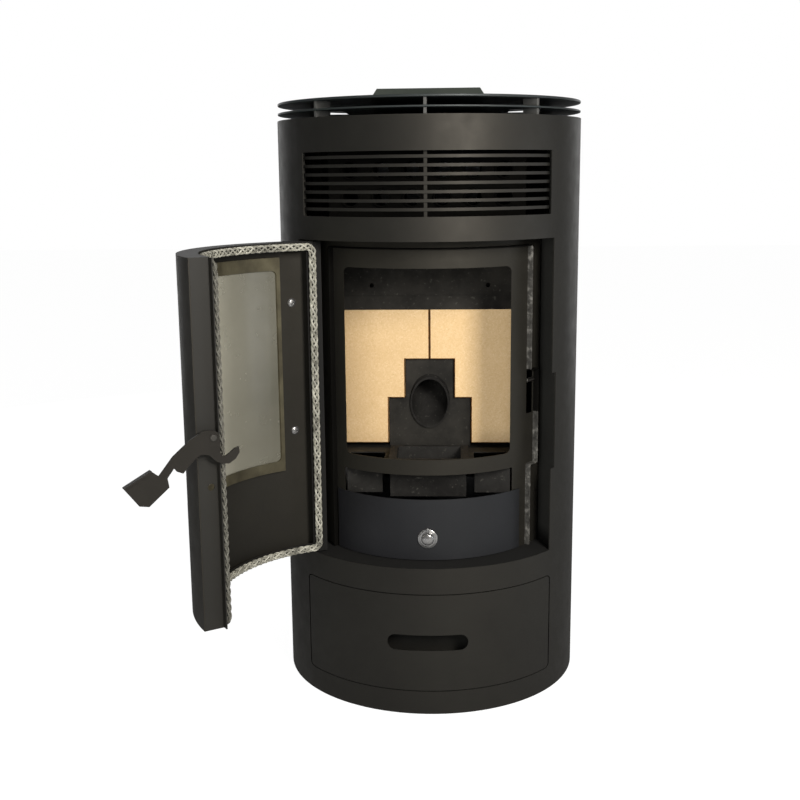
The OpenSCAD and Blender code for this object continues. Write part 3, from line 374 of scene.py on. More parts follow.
def chrome():
    """Bright plating, faintly smeared."""
    finish = Finish("chrome", 0.25, 0.9, 0.5)
    smears = finish.noise(40.0, 2.0)
    finish.color(smears, (0.3, linear(176, 176, 176)), (0.7, linear(190, 190, 190)))
    finish.roughness(smears, 0.22, 0.3)
    return finish.material


def worn_steel():
    """Bare steel of pins and bolts, finely brushed."""
    finish = Finish("worn_steel", 0.4, 1.0, 0.5)
    lines = finish.noise(60.0, 2.0, 0.5, finish.stretched((1.0, 1.0, 30.0)))
    finish.color(lines, (0.3, linear(120, 118, 114)), (0.7, linear(166, 164, 160)))
    finish.roughness(lines, 0.3, 0.5)
    finish.bump(lines, 0.06 * MM, 0.3)
    return finish.material


def vermiculite():
    """Pressed vermiculite board: flakes of tan and gold in a paler binder."""
    finish = Finish("vermiculite", 0.92, 0.0, 0.2)
    flakes = finish.cells(420.0)
    tone = finish.ramp(
        flakes,
        (0.0, linear(209, 177, 130)),
        (0.35, linear(216, 185, 139)),
        (0.7, linear(220, 190, 146)),
        (1.0, linear(226, 199, 157)),
    )
    patches = finish.between(finish.noise(26.0, 4.0), 0.35, 0.7, 0.0, 0.3)
    tone = finish.mix(patches, tone, linear(204, 172, 125))
    specks = finish.between(finish.noise(620.0, 2.0), 0.68, 0.74, 0.0, 0.5)
    tone = finish.mix(specks, tone, linear(150, 114, 72))
    finish.link(tone, "Base Color")
    coarse = finish.noise(240.0, 4.0, 0.6)
    finish.bump(finish.sum("ADD", coarse, finish.sum("MULTIPLY", flakes, 0.4)), 0.5 * MM, 0.4)
    return finish.material


def scorched_edge():
    """The browned, crumbled edges of the boards."""
    finish = Finish("scorched_edge", 0.95, 0.0, 0.15)
    finish.color(finish.noise(120.0, 4.0), (0.3, linear(58, 36, 18)), (0.7, linear(128, 88, 46)))
    finish.bump(finish.noise(400.0, 3.0), 0.4 * MM, 0.7)
    return finish.material


THREAD_PITCH = 2.2 * MM      # along a strand, from one plied thread to the next
THREAD_STARTS = 3            # threads that wind round a strand side by side


def yarn(name, color, soot):
    """Glass-fibre yarn: plied threads that run round each strand, their grooves darkened as painted shade,
    with clouds of soot, and darker towards the door's free edge.
    """
    finish = Finish(name, 0.85, 0.0, 0.25)
    coords = finish.tree.nodes.new("ShaderNodeUVMap")
    coords.uv_map = "yarn"
    split = finish.tree.nodes.new("ShaderNodeSeparateXYZ")
    finish.tree.links.new(coords.outputs["UV"], split.inputs["Vector"])
    along = finish.sum("MULTIPLY", split.outputs["X"], 2 * math.pi / THREAD_PITCH)
    turn = finish.sum("MULTIPLY_ADD", split.outputs["Y"], 2 * math.pi * THREAD_STARTS, along)
    threads = finish.sum("MULTIPLY_ADD", finish.sum("SINE", turn), 0.5, 0.5)
    # The grooves between the threads are darker: painted shade
    tone = finish.ramp(threads, (0.0, scaled(color, 0.45)), (0.6, color))
    clouds = finish.between(finish.noise(45.0, 4.0), 0.38, 0.68, 0.0, soot)
    # Darker towards the door's free edge
    clouds = finish.sum("MAXIMUM", clouds, finish.axis_darkening(ROPE_DARKENING, 0.8))
    finish.link(finish.mix(clouds, tone, linear(46, 44, 40)), "Base Color")
    finish.bump(threads, 0.4 * MM, 0.8)
    return finish.material


def seal_crust():
    """The pale, lumpy sealant along the recess."""
    finish = Finish("seal_crust", 0.8, 0.0, 0.3)
    dirt = finish.noise(90.0, 5.0, 0.6)
    finish.color(dirt, (0.3, linear(34, 33, 31)), (0.52, linear(62, 61, 58)), (0.72, linear(116, 114, 109)))
    finish.bump(finish.noise(600.0, 3.0), 0.5 * MM, 0.6)
    return finish.material


def door_glass():
    """Ceramic glass under grey clouds of soot, darker towards the hinge as painted shade, its paler free side
    a painted highlight.
    """
    finish = Finish("ceramic_glass", 0.2, 0.0, 0.15)
    finish.shader.inputs["Transmission Weight"].default_value = 0.3
    finish.shader.inputs["IOR"].default_value = 1.5
    clouds = finish.between(finish.noise(7.0, 4.0), 0.3, 0.7, 0.0, 0.25)
    soot_and_painted_shade = finish.sum("ADD", finish.axis_darkening(GLASS_SHADE, 0.75), clouds)
    # Pale to dark with the soot clouds and the painted shade towards the hinge
    finish.color(
        soot_and_painted_shade, (0.0, linear(176, 174, 160)), (0.4, linear(140, 138, 125)), (1.0, linear(102, 100, 88))
    )
    finish.roughness(finish.noise(30.0, 4.0), 0.15, 0.3)
    return finish.material


def heat_tinted_frame():
    """The window's retaining frame, browned by heat."""
    finish = Finish("heat_tinted_frame", 0.55, 0.35, 0.4)
    clouds = finish.noise(22.0, 5.0, 0.6)
    finish.color(
        clouds, (0.3, linear(60, 55, 41)), (0.55, linear(84, 79, 61)), (0.8, linear(104, 99, 80))
    )
    finish.roughness(clouds, 0.45, 0.68)
    finish.bump(finish.noise(500.0, 3.0), 0.15 * MM, 0.4)
    return finish.material


def moulded_plastic(name, color):
    finish = Finish(name, 0.45, 0.0, 0.5)
    grain = finish.noise(1500.0, 2.0)
    finish.color(grain, (0.35, color), (0.7, scaled(color, 1.6)))
    finish.roughness(finish.noise(40.0, 3.0), 0.38, 0.52)
    finish.bump(grain, 0.1 * MM, 0.4)
    return finish.material


def make_materials():
    return {
        "casing": stove_paint("casing_paint", linear(21, 21, 20), linear(26, 26, 24), 0.54, 0.5),
        "door": stove_paint("door_paint", linear(24, 23, 20), linear(29, 28, 24), 0.54, 0.5),
        "lid": stove_paint("lid_paint", linear(52, 57, 52), linear(64, 69, 63), 0.45, 0.7, COOL_SHEEN),
        # The recess paint darkens towards its floor: painted shade.
        "recess": paint_with_painted_shade("recess_paint", linear(40, 40, 38), linear(48, 48, 45), 0.6, RECESS_SHADE),
        "discs": stove_paint("disc_paint", linear(30, 34, 34), linear(38, 43, 42), 0.5, 0.6, COOL_SHEEN),
        # The channel paint darkens by the hinge: painted shade.
        "channel": paint_with_painted_shade("channel_paint", linear(24, 23, 20), linear(29, 28, 24), 0.54, CHANNEL_SHADE),
        "handle": stove_paint("handle_paint", linear(14, 13, 12), linear(19, 18, 16), 0.5, 0.5),
        "lintel": sooty_steel("lintel_steel", linear(42, 40, 36), linear(26, 25, 23)),
        "inner": stove_paint("inner_paint", linear(26, 25, 22), linear(32, 31, 27), 0.62, 0.4),
        "drawer": stove_paint("drawer_paint", linear(24, 24, 26), linear(29, 29, 31), 0.56, 0.45, COOL_SHEEN),
        "deck": stove_paint("deck_paint", linear(18, 18, 18), linear(22, 22, 21), 0.6, 0.35),
        "dark": stove_paint("duct_paint", linear(5, 5, 5), linear(8, 8, 7), 0.85, 0.1),
        "soot": sooty_steel("sooty_steel", linear(34, 33, 31), linear(16, 15, 14)),
        "pot": sooty_steel("pot_iron", linear(40, 39, 37), linear(20, 19, 18), 0.68),
        "spacer": sooty_steel("spacer_steel", linear(78, 78, 76), linear(60, 60, 58), 0.5),
        "dull": sooty_steel("dull_steel", linear(60, 58, 54), linear(40, 39, 36), 0.45),
        "zinc": zinc_steel(),
        "chrome": chrome(),
        "steel": worn_steel(),
        "board": vermiculite(),
        "scorch": scorched_edge(),
        "yarn_pale": yarn("yarn_pale", linear(206, 204, 190), 0.6),
        "yarn_grey": yarn("yarn_grey", linear(176, 174, 160), 0.7),
        # The rope's core is near black as painted shade between the strands.
        "painted_shade_core": sooty_steel("painted_shade_core", linear(14, 13, 12), linear(7, 7, 6), 0.95),
        "crust": seal_crust(),
        "glass": door_glass(),
        "tinted": heat_tinted_frame(),
        "plastic": moulded_plastic("black_plastic", linear(24, 24, 25)),
        "switch": moulded_plastic("switch_plastic", linear(120, 20, 18)),
        "circuit": moulded_plastic("circuit_case", linear(46, 60, 50)),
    }


# ---------- the frame's own pieces ----------

# Finish and edge radius in millimetres of each piece that keeps the frame's shape
DRESS = {
    "casing": (
        ("front_casing", 0.5), ("rear_casing", 0.5), ("base_drawer", 0.5), ("outlet_grille", 0.6),
    ),
    "lid": (("hopper_lid", 3.0),),
    "discs": (("top_disc", 1.0), ("lower_disc", 0.8)),
    "door": (("door_skin", 0.5),),
    "channel": (("door_frame", 0.5),),
    "handle": (("latch_handle", 0.9),),
    "recess": (("recess_surround", 0.3),),
    "lintel": (("lintel_plate", 0.5), ("burner_plate", 0.5)),
    "inner": (
        ("front_plate", 0.5), ("door_panel", 0.4), ("chassis_posts", 0.4), ("auger_motor", 0.6),
        ("exhaust_motor", 0.8), ("blower_motor", 0.6),
    ),
    "deck": (("base_plate", 0.6), ("top_deck", 0.5), ("flue_pipe", 0.4)),
    "drawer": (("ash_drawer", 0.6),),
    "soot": (("firebox_shell", 0.4), ("pellet_chute", 0.6), ("smoke_duct", 0.4), ("air_box", 0.5)),
    "dark": (("exchanger_tubes", 0.4), ("exchanger_plates", 0.4)),
    "spacer": (("lower_spacers", 0.4), ("upper_spacers", 0.4)),
    "pot": (("burn_pot", 0.5), ("pot_holder", 0.5)),
    "zinc": (
        ("hopper", 0.4), ("hopper_guard", 0.3), ("air_inlet_pipe", 0.4), ("auger_housing", 0.5),
        ("exhaust_fan_housing", 0.6), ("exhaust_impeller", 0.4), ("blower_housing", 0.5),
        ("blower_wheel", 0.3), ("ash_runners", 0.3), ("base_runners", 0.3),
    ),
    "steel": (("lid_hinge", 0.4), ("latch_keeper", 0.5), ("igniter", 0.6), ("hinge_pins", 0.5)),
    "dull": (("latch_pivot", 0.6),),
    "tinted": (("glass_frame", 0.5),),
    "plastic": (("power_inlet", 0.6),),
    "switch": (("power_switch", 0.8),),
    "circuit": (("control_box", 1.0),),
    "glass": (("door_glass", 0.4),),
}
BOARDS = ("fireback_left", "fireback_right")
BOARD_EDGE_MM = 1.6
EDGE_ANGLE = math.radians(32)             # a sharper corner than this is an edge
FLAT_ANGLE = math.radians(0.2)            # faces that meet flatter than this become one


def soften(piece, edge_mm, edge_material=None):
    """Joins the split surface, rounds its edges and evens its shading."""
    mesh = piece.data
    if "custom_normal" in mesh.attributes:
        mesh.attributes.remove(mesh.attributes["custom_normal"])
    mesh.shade_smooth()
    weld = piece.modifiers.new("join", "WELD")
    weld.merge_threshold = 0.001 * MM
    flats = piece.modifiers.new("flats", "DECIMATE")
    flats.decimate_type = "DISSOLVE"
    flats.angle_limit = FLAT_ANGLE
    edges = piece.modifiers.new("edges", "BEVEL")
    edges.width = edge_mm * MM
    edges.segments = 2
    edges.limit_method = "ANGLE"
    edges.angle_limit = EDGE_ANGLE
    if edge_material is not None:
        edges.material = edge_material
    shading = piece.modifiers.new("shading", "WEIGHTED_NORMAL")
    shading.keep_sharp = True
    shading.weight = 90


def paint(piece, *finishes):
    piece.data.materials.clear()
    for finish in finishes:
        piece.data.materials.append(finish)


def dress_frame(looks):
    for look, pieces in DRESS.items():
        for node, edge_mm in pieces:
            paint(NODES[node], looks[look])
            soften(NODES[node], edge_mm)
    for node in BOARDS:
        paint(NODES[node], looks["board"], looks["scorch"])
        soften(NODES[node], BOARD_EDGE_MM, edge_material=1)


# ---------- mesh helpers ----------


def replacing_piece(name, mesh, node, body):
    """Puts a mesh in the place of a node, riding on the node's body."""
    piece = bpy.data.objects.new(name, mesh)
    bpy.context.scene.collection.objects.link(piece)
    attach(piece, body)
    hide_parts(node)


def polar_box(node, on_door=False):
    """Least and most radius, angle and height of a node, with the door drawn closed."""
    back = DOOR_TURN.inverted() if on_door else Matrix.Identity(4)
    points = [back @ v.co for v in NODES[node].data.vertices]
    radii = [math.hypot(p.x, p.y) for p in points]
    angles = [math.atan2(p.x, -p.y) for p in points]
    heights = [p.z for p in points]
    return tuple((min(values), max(values)) for values in (radii, angles, heights))


def skin(form, rings):
    """Rows of faces that join each ring of vertices to the next; a single vertex closes a ring."""
    rows = []
    for low, high in zip(rings, rings[1:]):
        steps = max(len(low), len(high))
        row = []
        for i in range(steps):
            j = (i + 1) % steps
            corners = [low[i % len(low)], low[j % len(low)], high[j % len(high)], high[i % len(high)]]
            row.append(form.faces.new(list(dict.fromkeys(corners))))
        rows.append(row)
    return rows


def finished(form, name):
    """The mesh that a form has become, with its faces turned outwards."""
    bmesh.ops.recalc_face_normals(form, faces=form.faces)
    mesh = bpy.data.meshes.new(name)
    form.to_mesh(mesh)
    form.free()
    return mesh


def shade(mesh, sharp_degrees):
    """Smooth shading, but for edges sharper than an angle."""
    mesh.shade_smooth()
    mesh.set_sharp_from_angle(angle=math.radians(sharp_degrees))


def level_ring(form, radius, height, steps):
    """Vertices round +Z, or a single one where the radius is 0."""
    turns = [2 * math.pi * i / steps for i in range(steps if radius else 1)]
    return [form.verts.new((radius * math.cos(turn), radius * math.sin(turn), height)) for turn in turns]


def lathe(profile, steps):
    """A mesh turned about +Z from (radius, height) points; a radius of 0 closes it."""
    form = bmesh.new()
    skin(form, [level_ring(form, radius, height, steps) for radius, height in profile])
    return finished(form, "turned")


def arc_points(center, radius, start, end, steps):
    """(radius, height) points of a rounded part of a lathe profile, in degrees."""
    turns = [math.radians(start + (end - start) * i / steps) for i in range(steps + 1)]
    return [(center[0] + radius * math.cos(a), center[1] + radius * math.sin(a)) for a in turns]


def at_spot(mesh, spot, outwards):
    """Stands a mesh that was built along +Z on a spot, pointing outwards."""
    turn = Vector((0, 0, 1)).rotation_difference(Vector(outwards)).to_matrix().to_4x4()
    mesh.transform(Matrix.Translation(spot) @ turn)


def one_mesh(name, meshes):
    """Several closed meshes as one."""
    form = bmesh.new()
    for mesh in meshes:
        form.from_mesh(mesh)
    whole = finished(form, name)
    shade(whole, 40)
    return whole


def block(low, high, edge):
    """A box between two corners with rounded edges."""
    form = bmesh.new()
    bmesh.ops.create_cube(form, size=1.0)
    middle = (Vector(low) + Vector(high)) / 2
    size = Vector(high) - Vector(low)
    for vert in form.verts:
        vert.co = middle + Vector(c * s for c, s in zip(vert.co, size))
    bmesh.ops.bevel(form, geom=form.edges[:], offset=edge, segments=2, affect="EDGES", profile=0.5)
    return finished(form, "block")


# ---------- the door's rope seal ----------

ROPE_WIDTH = 14 * MM
ROPE_CORNER = 9 * MM         # radius of the rope's middle line at the corners
ROPE_CLEAR = 0.15 * MM       # left between the yarn and the rope's own box
ROPE_LAY = 48 * MM           # length in which a strand goes once round the rope
ROPE_RINGS = 1300            # steps along the loop
ROPE_SIDES = 8               # sides of a strand
STRANDS = 4                  # in each direction
STRAND_STRETCH = 1.2         # a strand's length over the rope's
YARN_HALF_WIDTH = 1.6 * MM
YARN_HALF_THICK = 1.2 * MM
WEAVE_LIFT = 1.1 * MM        # how far a strand rises where it crosses over
CORE_WIDTH = 0.6             # the core, near black as painted shade between the strands, as a share of the ring that the strands lie on
CORE_THICK = 0.5


def rounded_loop(half_u, half_v, corner, count):
    """Evenly spaced points and unit tangents of a rounded rectangle about the origin, and its length."""
    corner_steps = 24
    fine = []
    for center_u, center_v, start in ((1, -1, -90), (1, 1, 0), (-1, 1, 90), (-1, -1, 180)):
        for i in range(corner_steps + 1):
            turn = math.radians(start + 90 * i / corner_steps)
            u = center_u * (half_u - corner) + corner * math.cos(turn)
            v = center_v * (half_v - corner) + corner * math.sin(turn)
            fine.append((u, v))
    fine = np.array(fine + fine[:1])
    gone = np.concatenate(([0.0], np.cumsum(np.linalg.norm(np.diff(fine, axis=0), axis=1))))
    at = np.arange(count) * gone[-1] / count
    points = np.stack([np.interp(at, gone, fine[:, axis]) for axis in (0, 1)], axis=1)
    tangents = np.roll(points, -1, axis=0) - np.roll(points, 1, axis=0)
    return points, tangents / np.linalg.norm(tangents, axis=1, keepdims=True), gone[-1]


def closed_tube(centers, normals, half_width, half_thick):
    """Rings of an oval tube along a closed run of points, as an array of rings x sides x 3."""
    runs = np.roll(centers, -1, axis=0) - np.roll(centers, 1, axis=0)
    across = np.cross(runs, normals)
    across /= np.linalg.norm(across, axis=1, keepdims=True)
    turns = 2 * math.pi * np.arange(ROPE_SIDES) / ROPE_SIDES
    wide = half_width * np.cos(turns)[None, :, None] * across[:, None, :]
    thick = half_thick * np.sin(turns)[None, :, None] * normals[:, None, :]
    return centers[:, None, :] + wide + thick


def tube_faces(first):
    """Quads of a closed tube whose vertices start at first, and their places along and round it."""
    k, j = np.meshgrid(np.arange(ROPE_RINGS), np.arange(ROPE_SIDES), indexing="ij")
    k_next, j_next = (k + 1) % ROPE_RINGS, (j + 1) % ROPE_SIDES
    corners = ((k, j), (k_next, j), (k_next, j_next), (k, j_next))
    quads = np.stack([ring * ROPE_SIDES + side for ring, side in corners], -1)
    unrolled = ((k, j), (k + 1, j), (k + 1, j + 1), (k, j + 1))
    places = np.stack([np.stack(pair, -1) for pair in unrolled], 2)
    return quads.reshape(-1, 4) + first, places.reshape(-1, 4, 2)


def rope_tubes(half_u, half_v, depth):
    """The loop laid flat: each tube's points as (along u, along v, out) with its finish, and the length."""
    path, tangent, length = rounded_loop(half_u, half_v, ROPE_CORNER, ROPE_RINGS)
    side = np.stack([tangent[:, 1], -tangent[:, 0]], axis=1)
    reach_side = ROPE_WIDTH / 2 - WEAVE_LIFT - YARN_HALF_THICK - ROPE_CLEAR
    reach_out = depth / 2 - WEAVE_LIFT - YARN_HALF_THICK - ROPE_CLEAR
    turns = round(length / ROPE_LAY)
    travel = 2 * math.pi * turns * np.arange(ROPE_RINGS) / ROPE_RINGS

    def in_section(across, out):
        """Points given across and out of the rope's middle line."""
        return np.stack([path[:, 0] + side[:, 0] * across, path[:, 1] + side[:, 1] * across, out], axis=1)

    def strand(start, way):
        turn = start + way * travel
        normal_side, normal_out = np.cos(turn) / reach_side, np.sin(turn) / reach_out
        size = np.hypot(normal_side, normal_out)
        normal_side, normal_out = normal_side / size, normal_out / size
        rise = way * WEAVE_LIFT * np.sin(2 * turn)
        across = reach_side * np.cos(turn) + rise * normal_side
        out = reach_out * np.sin(turn) + rise * normal_out
        normals = np.stack([side[:, 0] * normal_side, side[:, 1] * normal_side, normal_out], axis=1)
        return closed_tube(in_section(across, out), normals, YARN_HALF_WIDTH, YARN_HALF_THICK)

    tubes = []
    for i in range(STRANDS):
        start = 2 * math.pi * i / STRANDS + math.pi / 8
        for way in (1, -1):
            tubes.append((strand(start, way), (i + (way > 0)) % 2))
    outwards = np.tile(np.array([0.0, 0.0, 1.0]), (ROPE_RINGS, 1))
    middle = in_section(0.0 * travel, 0.0 * travel)
    tubes.append((closed_tube(middle, outwards, reach_side * CORE_WIDTH, reach_out * CORE_THICK), 2))
    return tubes, length


def rope_gasket(looks):
    """A plaited rope of eight strands in the door's channel, over a near-black core that is painted shade
    between the strands.
    """
    (r_in, r_out), (low_angle, high_angle), (low_z, high_z) = polar_box("rope_seal", on_door=True)
    r_mid = (r_in + r_out) / 2
    half_u = (high_angle - low_angle) / 2 * r_mid - ROPE_WIDTH / 2
    half_v = (high_z - low_z) / 2 - ROPE_WIDTH / 2
    tubes, length = rope_tubes(half_u, half_v, r_out - r_in)
    points, quads, uvs, slots = [], [], [], []
    for index, (tube, slot) in enumerate(tubes):
        faces, places = tube_faces(index * ROPE_RINGS * ROPE_SIDES)
        points.append(tube.reshape(-1, 3))
        quads.append(faces)
        uvs.append(places * np.array([length * STRAND_STRETCH / ROPE_RINGS, 1 / ROPE_SIDES]))
        slots.append(np.full(len(faces), slot))
    points = np.concatenate(points)
    angle = points[:, 0] / r_mid + (low_angle + high_angle) / 2
    radius = r_mid - points[:, 2]
    height = points[:, 1] + (low_z + high_z) / 2
    rolled = np.stack([radius * np.sin(angle), -radius * np.cos(angle), height], axis=1)
    mesh = bpy.data.meshes.new("rope_gasket")
    mesh.from_pydata(rolled.tolist(), [], np.concatenate(quads).tolist())
    layer = mesh.uv_layers.new(name="yarn")
    layer.data.foreach_set("uv", np.concatenate(uvs).astype(np.float32).ravel())
    mesh.polygons.foreach_set("material_index", np.concatenate(slots).astype(np.int32))
    mesh.transform(DOOR_TURN)
    mesh.shade_smooth()
    turn_outwards(mesh)
    for look in ("yarn_pale", "yarn_grey", "painted_shade_core"):
        mesh.materials.append(looks[look])
    replacing_piece("rope_gasket", mesh, "rope_seal", "door")


def turn_outwards(mesh):
    form = bmesh.new()
    form.from_mesh(mesh)
    bmesh.ops.recalc_face_normals(form, faces=form.faces)
    form.to_mesh(mesh)
    form.free()


# ---------- small bright pieces ----------


def knob_profile(rosette_r, height):
    """(radius, height) points of a rosette with a groove and a dome, from the stem behind its seat."""
    stem_r, stem_end = 5 * MM, -8 * MM
    seat, lip_r = 0.2 * MM, 1.0 * MM
    ring_top, groove = 2.9 * MM, 0.9 * MM
    dome_r, dome_edge, dome_round = 10.6 * MM, 4.4 * MM, 4.6 * MM
    profile = [(0.0, stem_end), (stem_r, stem_end), (stem_r, seat), (rosette_r - 1.2 * MM, seat)]
    profile += arc_points((rosette_r - lip_r, lip_r + seat), lip_r, -80, 90, 6)
    profile += [(rosette_r - 3.0 * MM, ring_top), (rosette_r - 3.4 * MM, groove)]
    profile += [(dome_r + 0.3 * MM, groove), (dome_r, 1.4 * MM), (dome_r, dome_edge)]
    profile += arc_points((dome_r - dome_round, dome_round), dome_round, 4, 68, 8)
    return profile + [(4.0 * MM, height - 0.4 * MM), (0.0, height)]


def drawer_knob(looks):
    """A chrome rosette and dome with a small stud above, and the steel tongue behind the front."""
    low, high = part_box("drawer_knob")
    rosette_r = (high.x - low.x) / 2
    middle_x = (low.x + high.x) / 2
    middle_z = low.z + rosette_r
    height = 10.2 * MM                     # from the drawer's face to the top of the dome
    face_y = low.y + height
    turned = lathe(knob_profile(rosette_r, height), 72)
    at_spot(turned, Vector((middle_x, face_y, middle_z)), (0, -1, 0))
    stud_r, stud_up, stud_tall = 2.5 * MM, 16.6 * MM, 5.8 * MM
    stud_profile = [(0.0, 0.2 * MM), (stud_r, 0.2 * MM)]
    stud_profile += arc_points((stud_r - 1.2 * MM, stud_tall - 1.2 * MM), 1.2 * MM, 0, 80, 4)
    stud = lathe(stud_profile + [(0.0, stud_tall)], 24)
    at_spot(stud, Vector((middle_x, face_y, middle_z + stud_up)), (0, -1, 0))
    tongue_half = 4 * MM
    tongue_low = (middle_x - tongue_half, face_y + 4.6 * MM, middle_z + 1.5 * MM)
    tongue_high = (middle_x + tongue_half, face_y + 7.1 * MM, middle_z + 20 * MM)
    mesh = one_mesh("knob_turned", (turned, stud, block(tongue_low, tongue_high, 0.4 * MM)))
    mesh.materials.append(looks["chrome"])
    replacing_piece("knob_turned", mesh, "drawer_knob", "drawer_knob")


DOOR_SCREW_HALF = 167 * MM               # across from the door's middle
DOOR_SCREW_HEIGHTS = (0.467, 0.681)
DOOR_SCREW_R = 7.2 * MM
DOOR_SCREW_TALL = 3.8 * MM
DOOR_SCREW_SEAT = 1.6 * MM               # inwards from the panel's outer face


def door_screws(looks):
    """Domed cross-head screws on the door's inner panel."""
    (_, panel_r), _, _ = polar_box("door_panel", on_door=True)
    angle = math.asin(DOOR_SCREW_HALF / panel_r)
    meshes = []
    for side in (-1, 1):
        inwards = Vector((-math.sin(side * angle), math.cos(side * angle), 0.0))
        for height in DOOR_SCREW_HEIGHTS:
            mesh = cross_head(DOOR_SCREW_R, DOOR_SCREW_TALL)
            at_spot(mesh, Vector((0, 0, height)) - inwards * (panel_r - DOOR_SCREW_SEAT), inwards)
            meshes.append(mesh)
    mesh = one_mesh("door_screw_heads", meshes)
    mesh.transform(DOOR_TURN)
    mesh.materials.append(looks["chrome"])
    replacing_piece("door_screw_heads", mesh, "door_screws", "door")


def cross_head(radius, height):
    """A domed screw head with a cross recess, along +Z from its seat at 0."""
    steps, levels = 48, 10
    fall = 0.92                            # how near the dome comes to a half ellipse
    arm_half, arm_reach = 0.13, 0.55       # the cross, as shares of the radius
    sunk = 0.45                            # its depth, as a share of the height
    form = bmesh.new()
    rows = [level_ring(form, 0, 0, steps), level_ring(form, radius, 0, steps)]
    for level in range(levels):
        share = 1 - level / levels
        row = []
        for i in range(steps):
            turn = 2 * math.pi * i / steps
            x, y = share * math.cos(turn), share * math.sin(turn)
            in_cross = min(abs(x), abs(y)) < arm_half and max(abs(x), abs(y)) < arm_reach
            rise = height * math.sqrt(1 - fall * share ** 2) - height * sunk * in_cross
            row.append(form.verts.new((radius * x, radius * y, rise)))
        rows.append(row)
    rows.append(level_ring(form, 0, height * 0.5, steps))
    skin(form, rows)
    return finished(form, "cross_head")


# ---------- the ridge that presses into the rope ----------

RIDGE_ANGLE = math.radians(52.2)         # on the latch side
RIDGE_DETOUR_ANGLE = math.radians(58.3)  # round the hook's opening
RIDGE_DETOUR_HEIGHTS = (0.3985, 0.5615)
RIDGE_WIDTH = 2.4 * MM
RIDGE_BEND = 3 * MM
RIDGE_STEP = 1.6 * MM
RIDGE_SECTION = (                        # across and up, as shares of the width and the height
    (-0.5, 0.0), (-0.52, 0.3), (-0.5, 0.65), (-0.44, 0.86), (-0.26, 0.97), (0.0, 1.0),
)
SLOT_LOW_Z = 0.487                       # lower end of the hook's slot, which has no sealant beside it
LUMPS_PER_M = 90
FINE_LUMPS = 3.1                         # how much closer the finer lumps on them lie
LUMP_ROUND_HOOK = 1.5 * MM
LUMP_ELSEWHERE = 0.35 * MM
LUMPY_REACH = 12 * MM                    # how far from a bend the sealant is lumpiest


def bent_path(corners, radius, step):
    """Points and tangents along straight runs joined by small round bends."""
    bend_steps = 6
    fine = [Vector(corners[0])]
    for before, corner, after in zip(corners, corners[1:], corners[2:]):
        before, corner, after = Vector(before), Vector(corner), Vector(after)
        back, on = (before - corner).normalized(), (after - corner).normalized()
        for i in range(bend_steps + 1):
            share = i / bend_steps
            near = corner + back * radius * (1 - share) ** 2
            fine.append(near + on * radius * share ** 2)
    fine.append(Vector(corners[-1]))
    gone = [0.0]
    for first, second in zip(fine, fine[1:]):
        gone.append(gone[-1] + (second - first).length)
    at = np.linspace(0, gone[-1], round(gone[-1] / step))
    points = np.stack([np.interp(at, gone, [p[axis] for p in fine]) for axis in (0, 1)], axis=1)
    tangents = np.gradient(points, axis=0)
    return points, tangents / np.linalg.norm(tangents, axis=1, keepdims=True)


def ridge_ring(form, place, along, foot_r, tall, lump):
    """One cross section of the ridge at a place round and up the recess, with sealant of a lumpiness."""
    (u, z), (along_u, along_z) = place, along
    section = RIDGE_SECTION + tuple((-across, up) for across, up in reversed(RIDGE_SECTION[:-1]))
    ring = []
    for across, up in section:
        spot = Vector((u * LUMPS_PER_M, z * LUMPS_PER_M, across * 1.5 + up))
        off = noise.noise(spot) * lump + noise.noise(spot * FINE_LUMPS) * lump * 0.5
        side = across * RIDGE_WIDTH + off * (1 if across > 0 else -1) * (up > 0)
        radius = foot_r + tall * up - abs(off) * 0.6 * (up > 0.5)
        angle = (u + along_z * side) / foot_r
        height = z - along_u * side
        ring.append(form.verts.new((radius * math.sin(angle), -radius * math.cos(angle), height)))
    return ring


def seal_ridge(looks):
    """Lumpy sealant along the latch side of the recess, and the plain steel edge elsewhere, painted near
    black as painted shade.
    """
    (foot_r, tip_r), (left_angle, _), (low_z, high_z) = polar_box("seal_ridge")
    margin = 1 * MM
    top_z = high_z - RIDGE_WIDTH / 2
    left = (left_angle + RIDGE_WIDTH / 2 / foot_r) * foot_r
    low_detour, high_detour = RIDGE_DETOUR_HEIGHTS
    main, detour = RIDGE_ANGLE * foot_r, RIDGE_DETOUR_ANGLE * foot_r
    corners = [
        (main, low_z), (main, low_detour), (detour, low_detour), (detour, high_detour),
        (main, high_detour), (main, top_z), (left, top_z), (left, low_z),
    ]
    points, tangents = bent_path(corners, RIDGE_BEND, RIDGE_STEP)
    form = bmesh.new()
    rings, slots = [], []
    for place, along in zip(points, tangents):
        u, z = place
        on_detour = u > main + margin
        near_bend = min(abs(z - low_detour), abs(z - high_detour), abs(z - low_z)) < LUMPY_REACH
        crusted = u > 0 and z < top_z - margin and not (on_detour and z > SLOT_LOW_Z)
        lump = LUMP_ROUND_HOOK if on_detour or near_bend else LUMP_ELSEWHERE
        rings.append(ridge_ring(form, place, along, foot_r, tip_r - foot_r, lump if crusted else 0.0))
        slots.append(0 if crusted else 1)
    for row, slot in zip(skin(form, rings), slots):
        for face in row:
            face.material_index = slot
    for end in (0, -1):
        form.faces.new(rings[end]).material_index = slots[end]
    mesh = finished(form, "seal_bead")
    shade(mesh, 60)
    mesh.materials.append(looks["crust"])
    # The plain runs are near black: painted shade.
    mesh.materials.append(looks["dark"])
    replacing_piece("seal_bead", mesh, "seal_ridge", "stove")


# ---------- the feed screw ----------

AUGER_FOOT = Vector(JOINTS["auger_turn"]["pos_m"])
AUGER_AXIS = Vector(JOINTS["auger_turn"]["axis"])
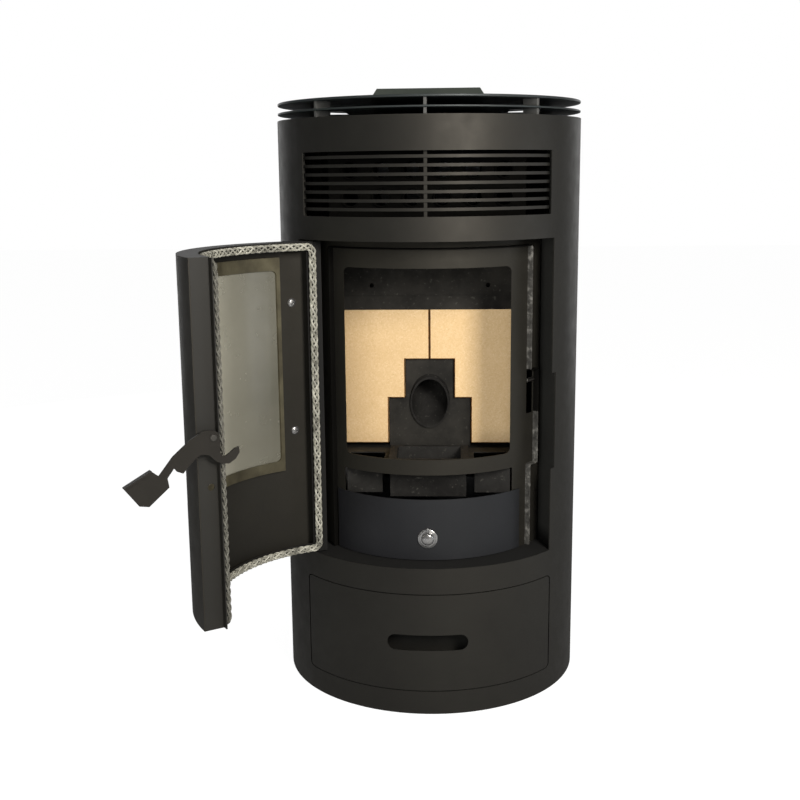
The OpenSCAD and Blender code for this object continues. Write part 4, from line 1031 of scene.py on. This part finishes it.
# Lengths along the axis from its foot
AUGER_SHAFT_ENDS = (-26 * MM, 193.14 * MM)
AUGER_FLIGHT_ENDS = (15.5 * MM, 165.5 * MM)
AUGER_SHAFT_R = 7 * MM
AUGER_FLIGHT_R = 25.9 * MM
AUGER_FLIGHT_THICK = 2.4 * MM
AUGER_PITCH = 30 * MM
AUGER_SUNK = 1 * MM                      # of the blade into the shaft
AUGER_EDGE = 0.6 * MM
AUGER_STEPS = 56                         # in a turn of the blade


def auger_shaft():
    low, high = AUGER_SHAFT_ENDS
    inner_r = AUGER_SHAFT_R - AUGER_EDGE
    profile = [(0.0, low), (inner_r, low), (AUGER_SHAFT_R, low + AUGER_EDGE)]
    profile += [(AUGER_SHAFT_R, high - AUGER_EDGE), (inner_r, high), (0.0, high)]
    return lathe(profile, 40)


def auger_flight():
    """The helical blade."""
    start, end = AUGER_FLIGHT_ENDS
    turns = (end - start) / AUGER_PITCH
    steps = round(turns * AUGER_STEPS)
    half = AUGER_FLIGHT_THICK / 2
    upper = [(AUGER_FLIGHT_R, half * 0.35), (AUGER_FLIGHT_R - AUGER_EDGE, half * 0.8)]
    upper.append((AUGER_SHAFT_R - AUGER_SUNK, half))
    section = [(radius, -up) for radius, up in reversed(upper)] + upper
    form = bmesh.new()
    rings = []
    for i in range(steps + 1):
        turn = 2 * math.pi * turns * i / steps
        level = start + (end - start) * i / steps
        across, aside = math.cos(turn), math.sin(turn)
        rings.append([form.verts.new((r * across, r * aside, level + up)) for r, up in section])
    skin(form, rings)
    for end_ring in (rings[0], rings[-1]):
        form.faces.new(end_ring)
    return finished(form, "flight")


def auger(looks):
    """The feed screw: a shaft with one helical flight."""
    mesh = one_mesh("feed_screw", (auger_shaft(), auger_flight()))
    at_spot(mesh, AUGER_FOOT, AUGER_AXIS)
    mesh.materials.append(looks["steel"])
    replacing_piece("feed_screw", mesh, "auger_screw", "auger")


make_camera()
make_lights()
make_world()
make_floor()
looks = make_materials()
dress_frame(looks)
rope_gasket(looks)
seal_ridge(looks)
door_screws(looks)
drawer_knob(looks)
auger(looks)

scene = bpy.context.scene
scene.view_settings.view_transform = "Standard"
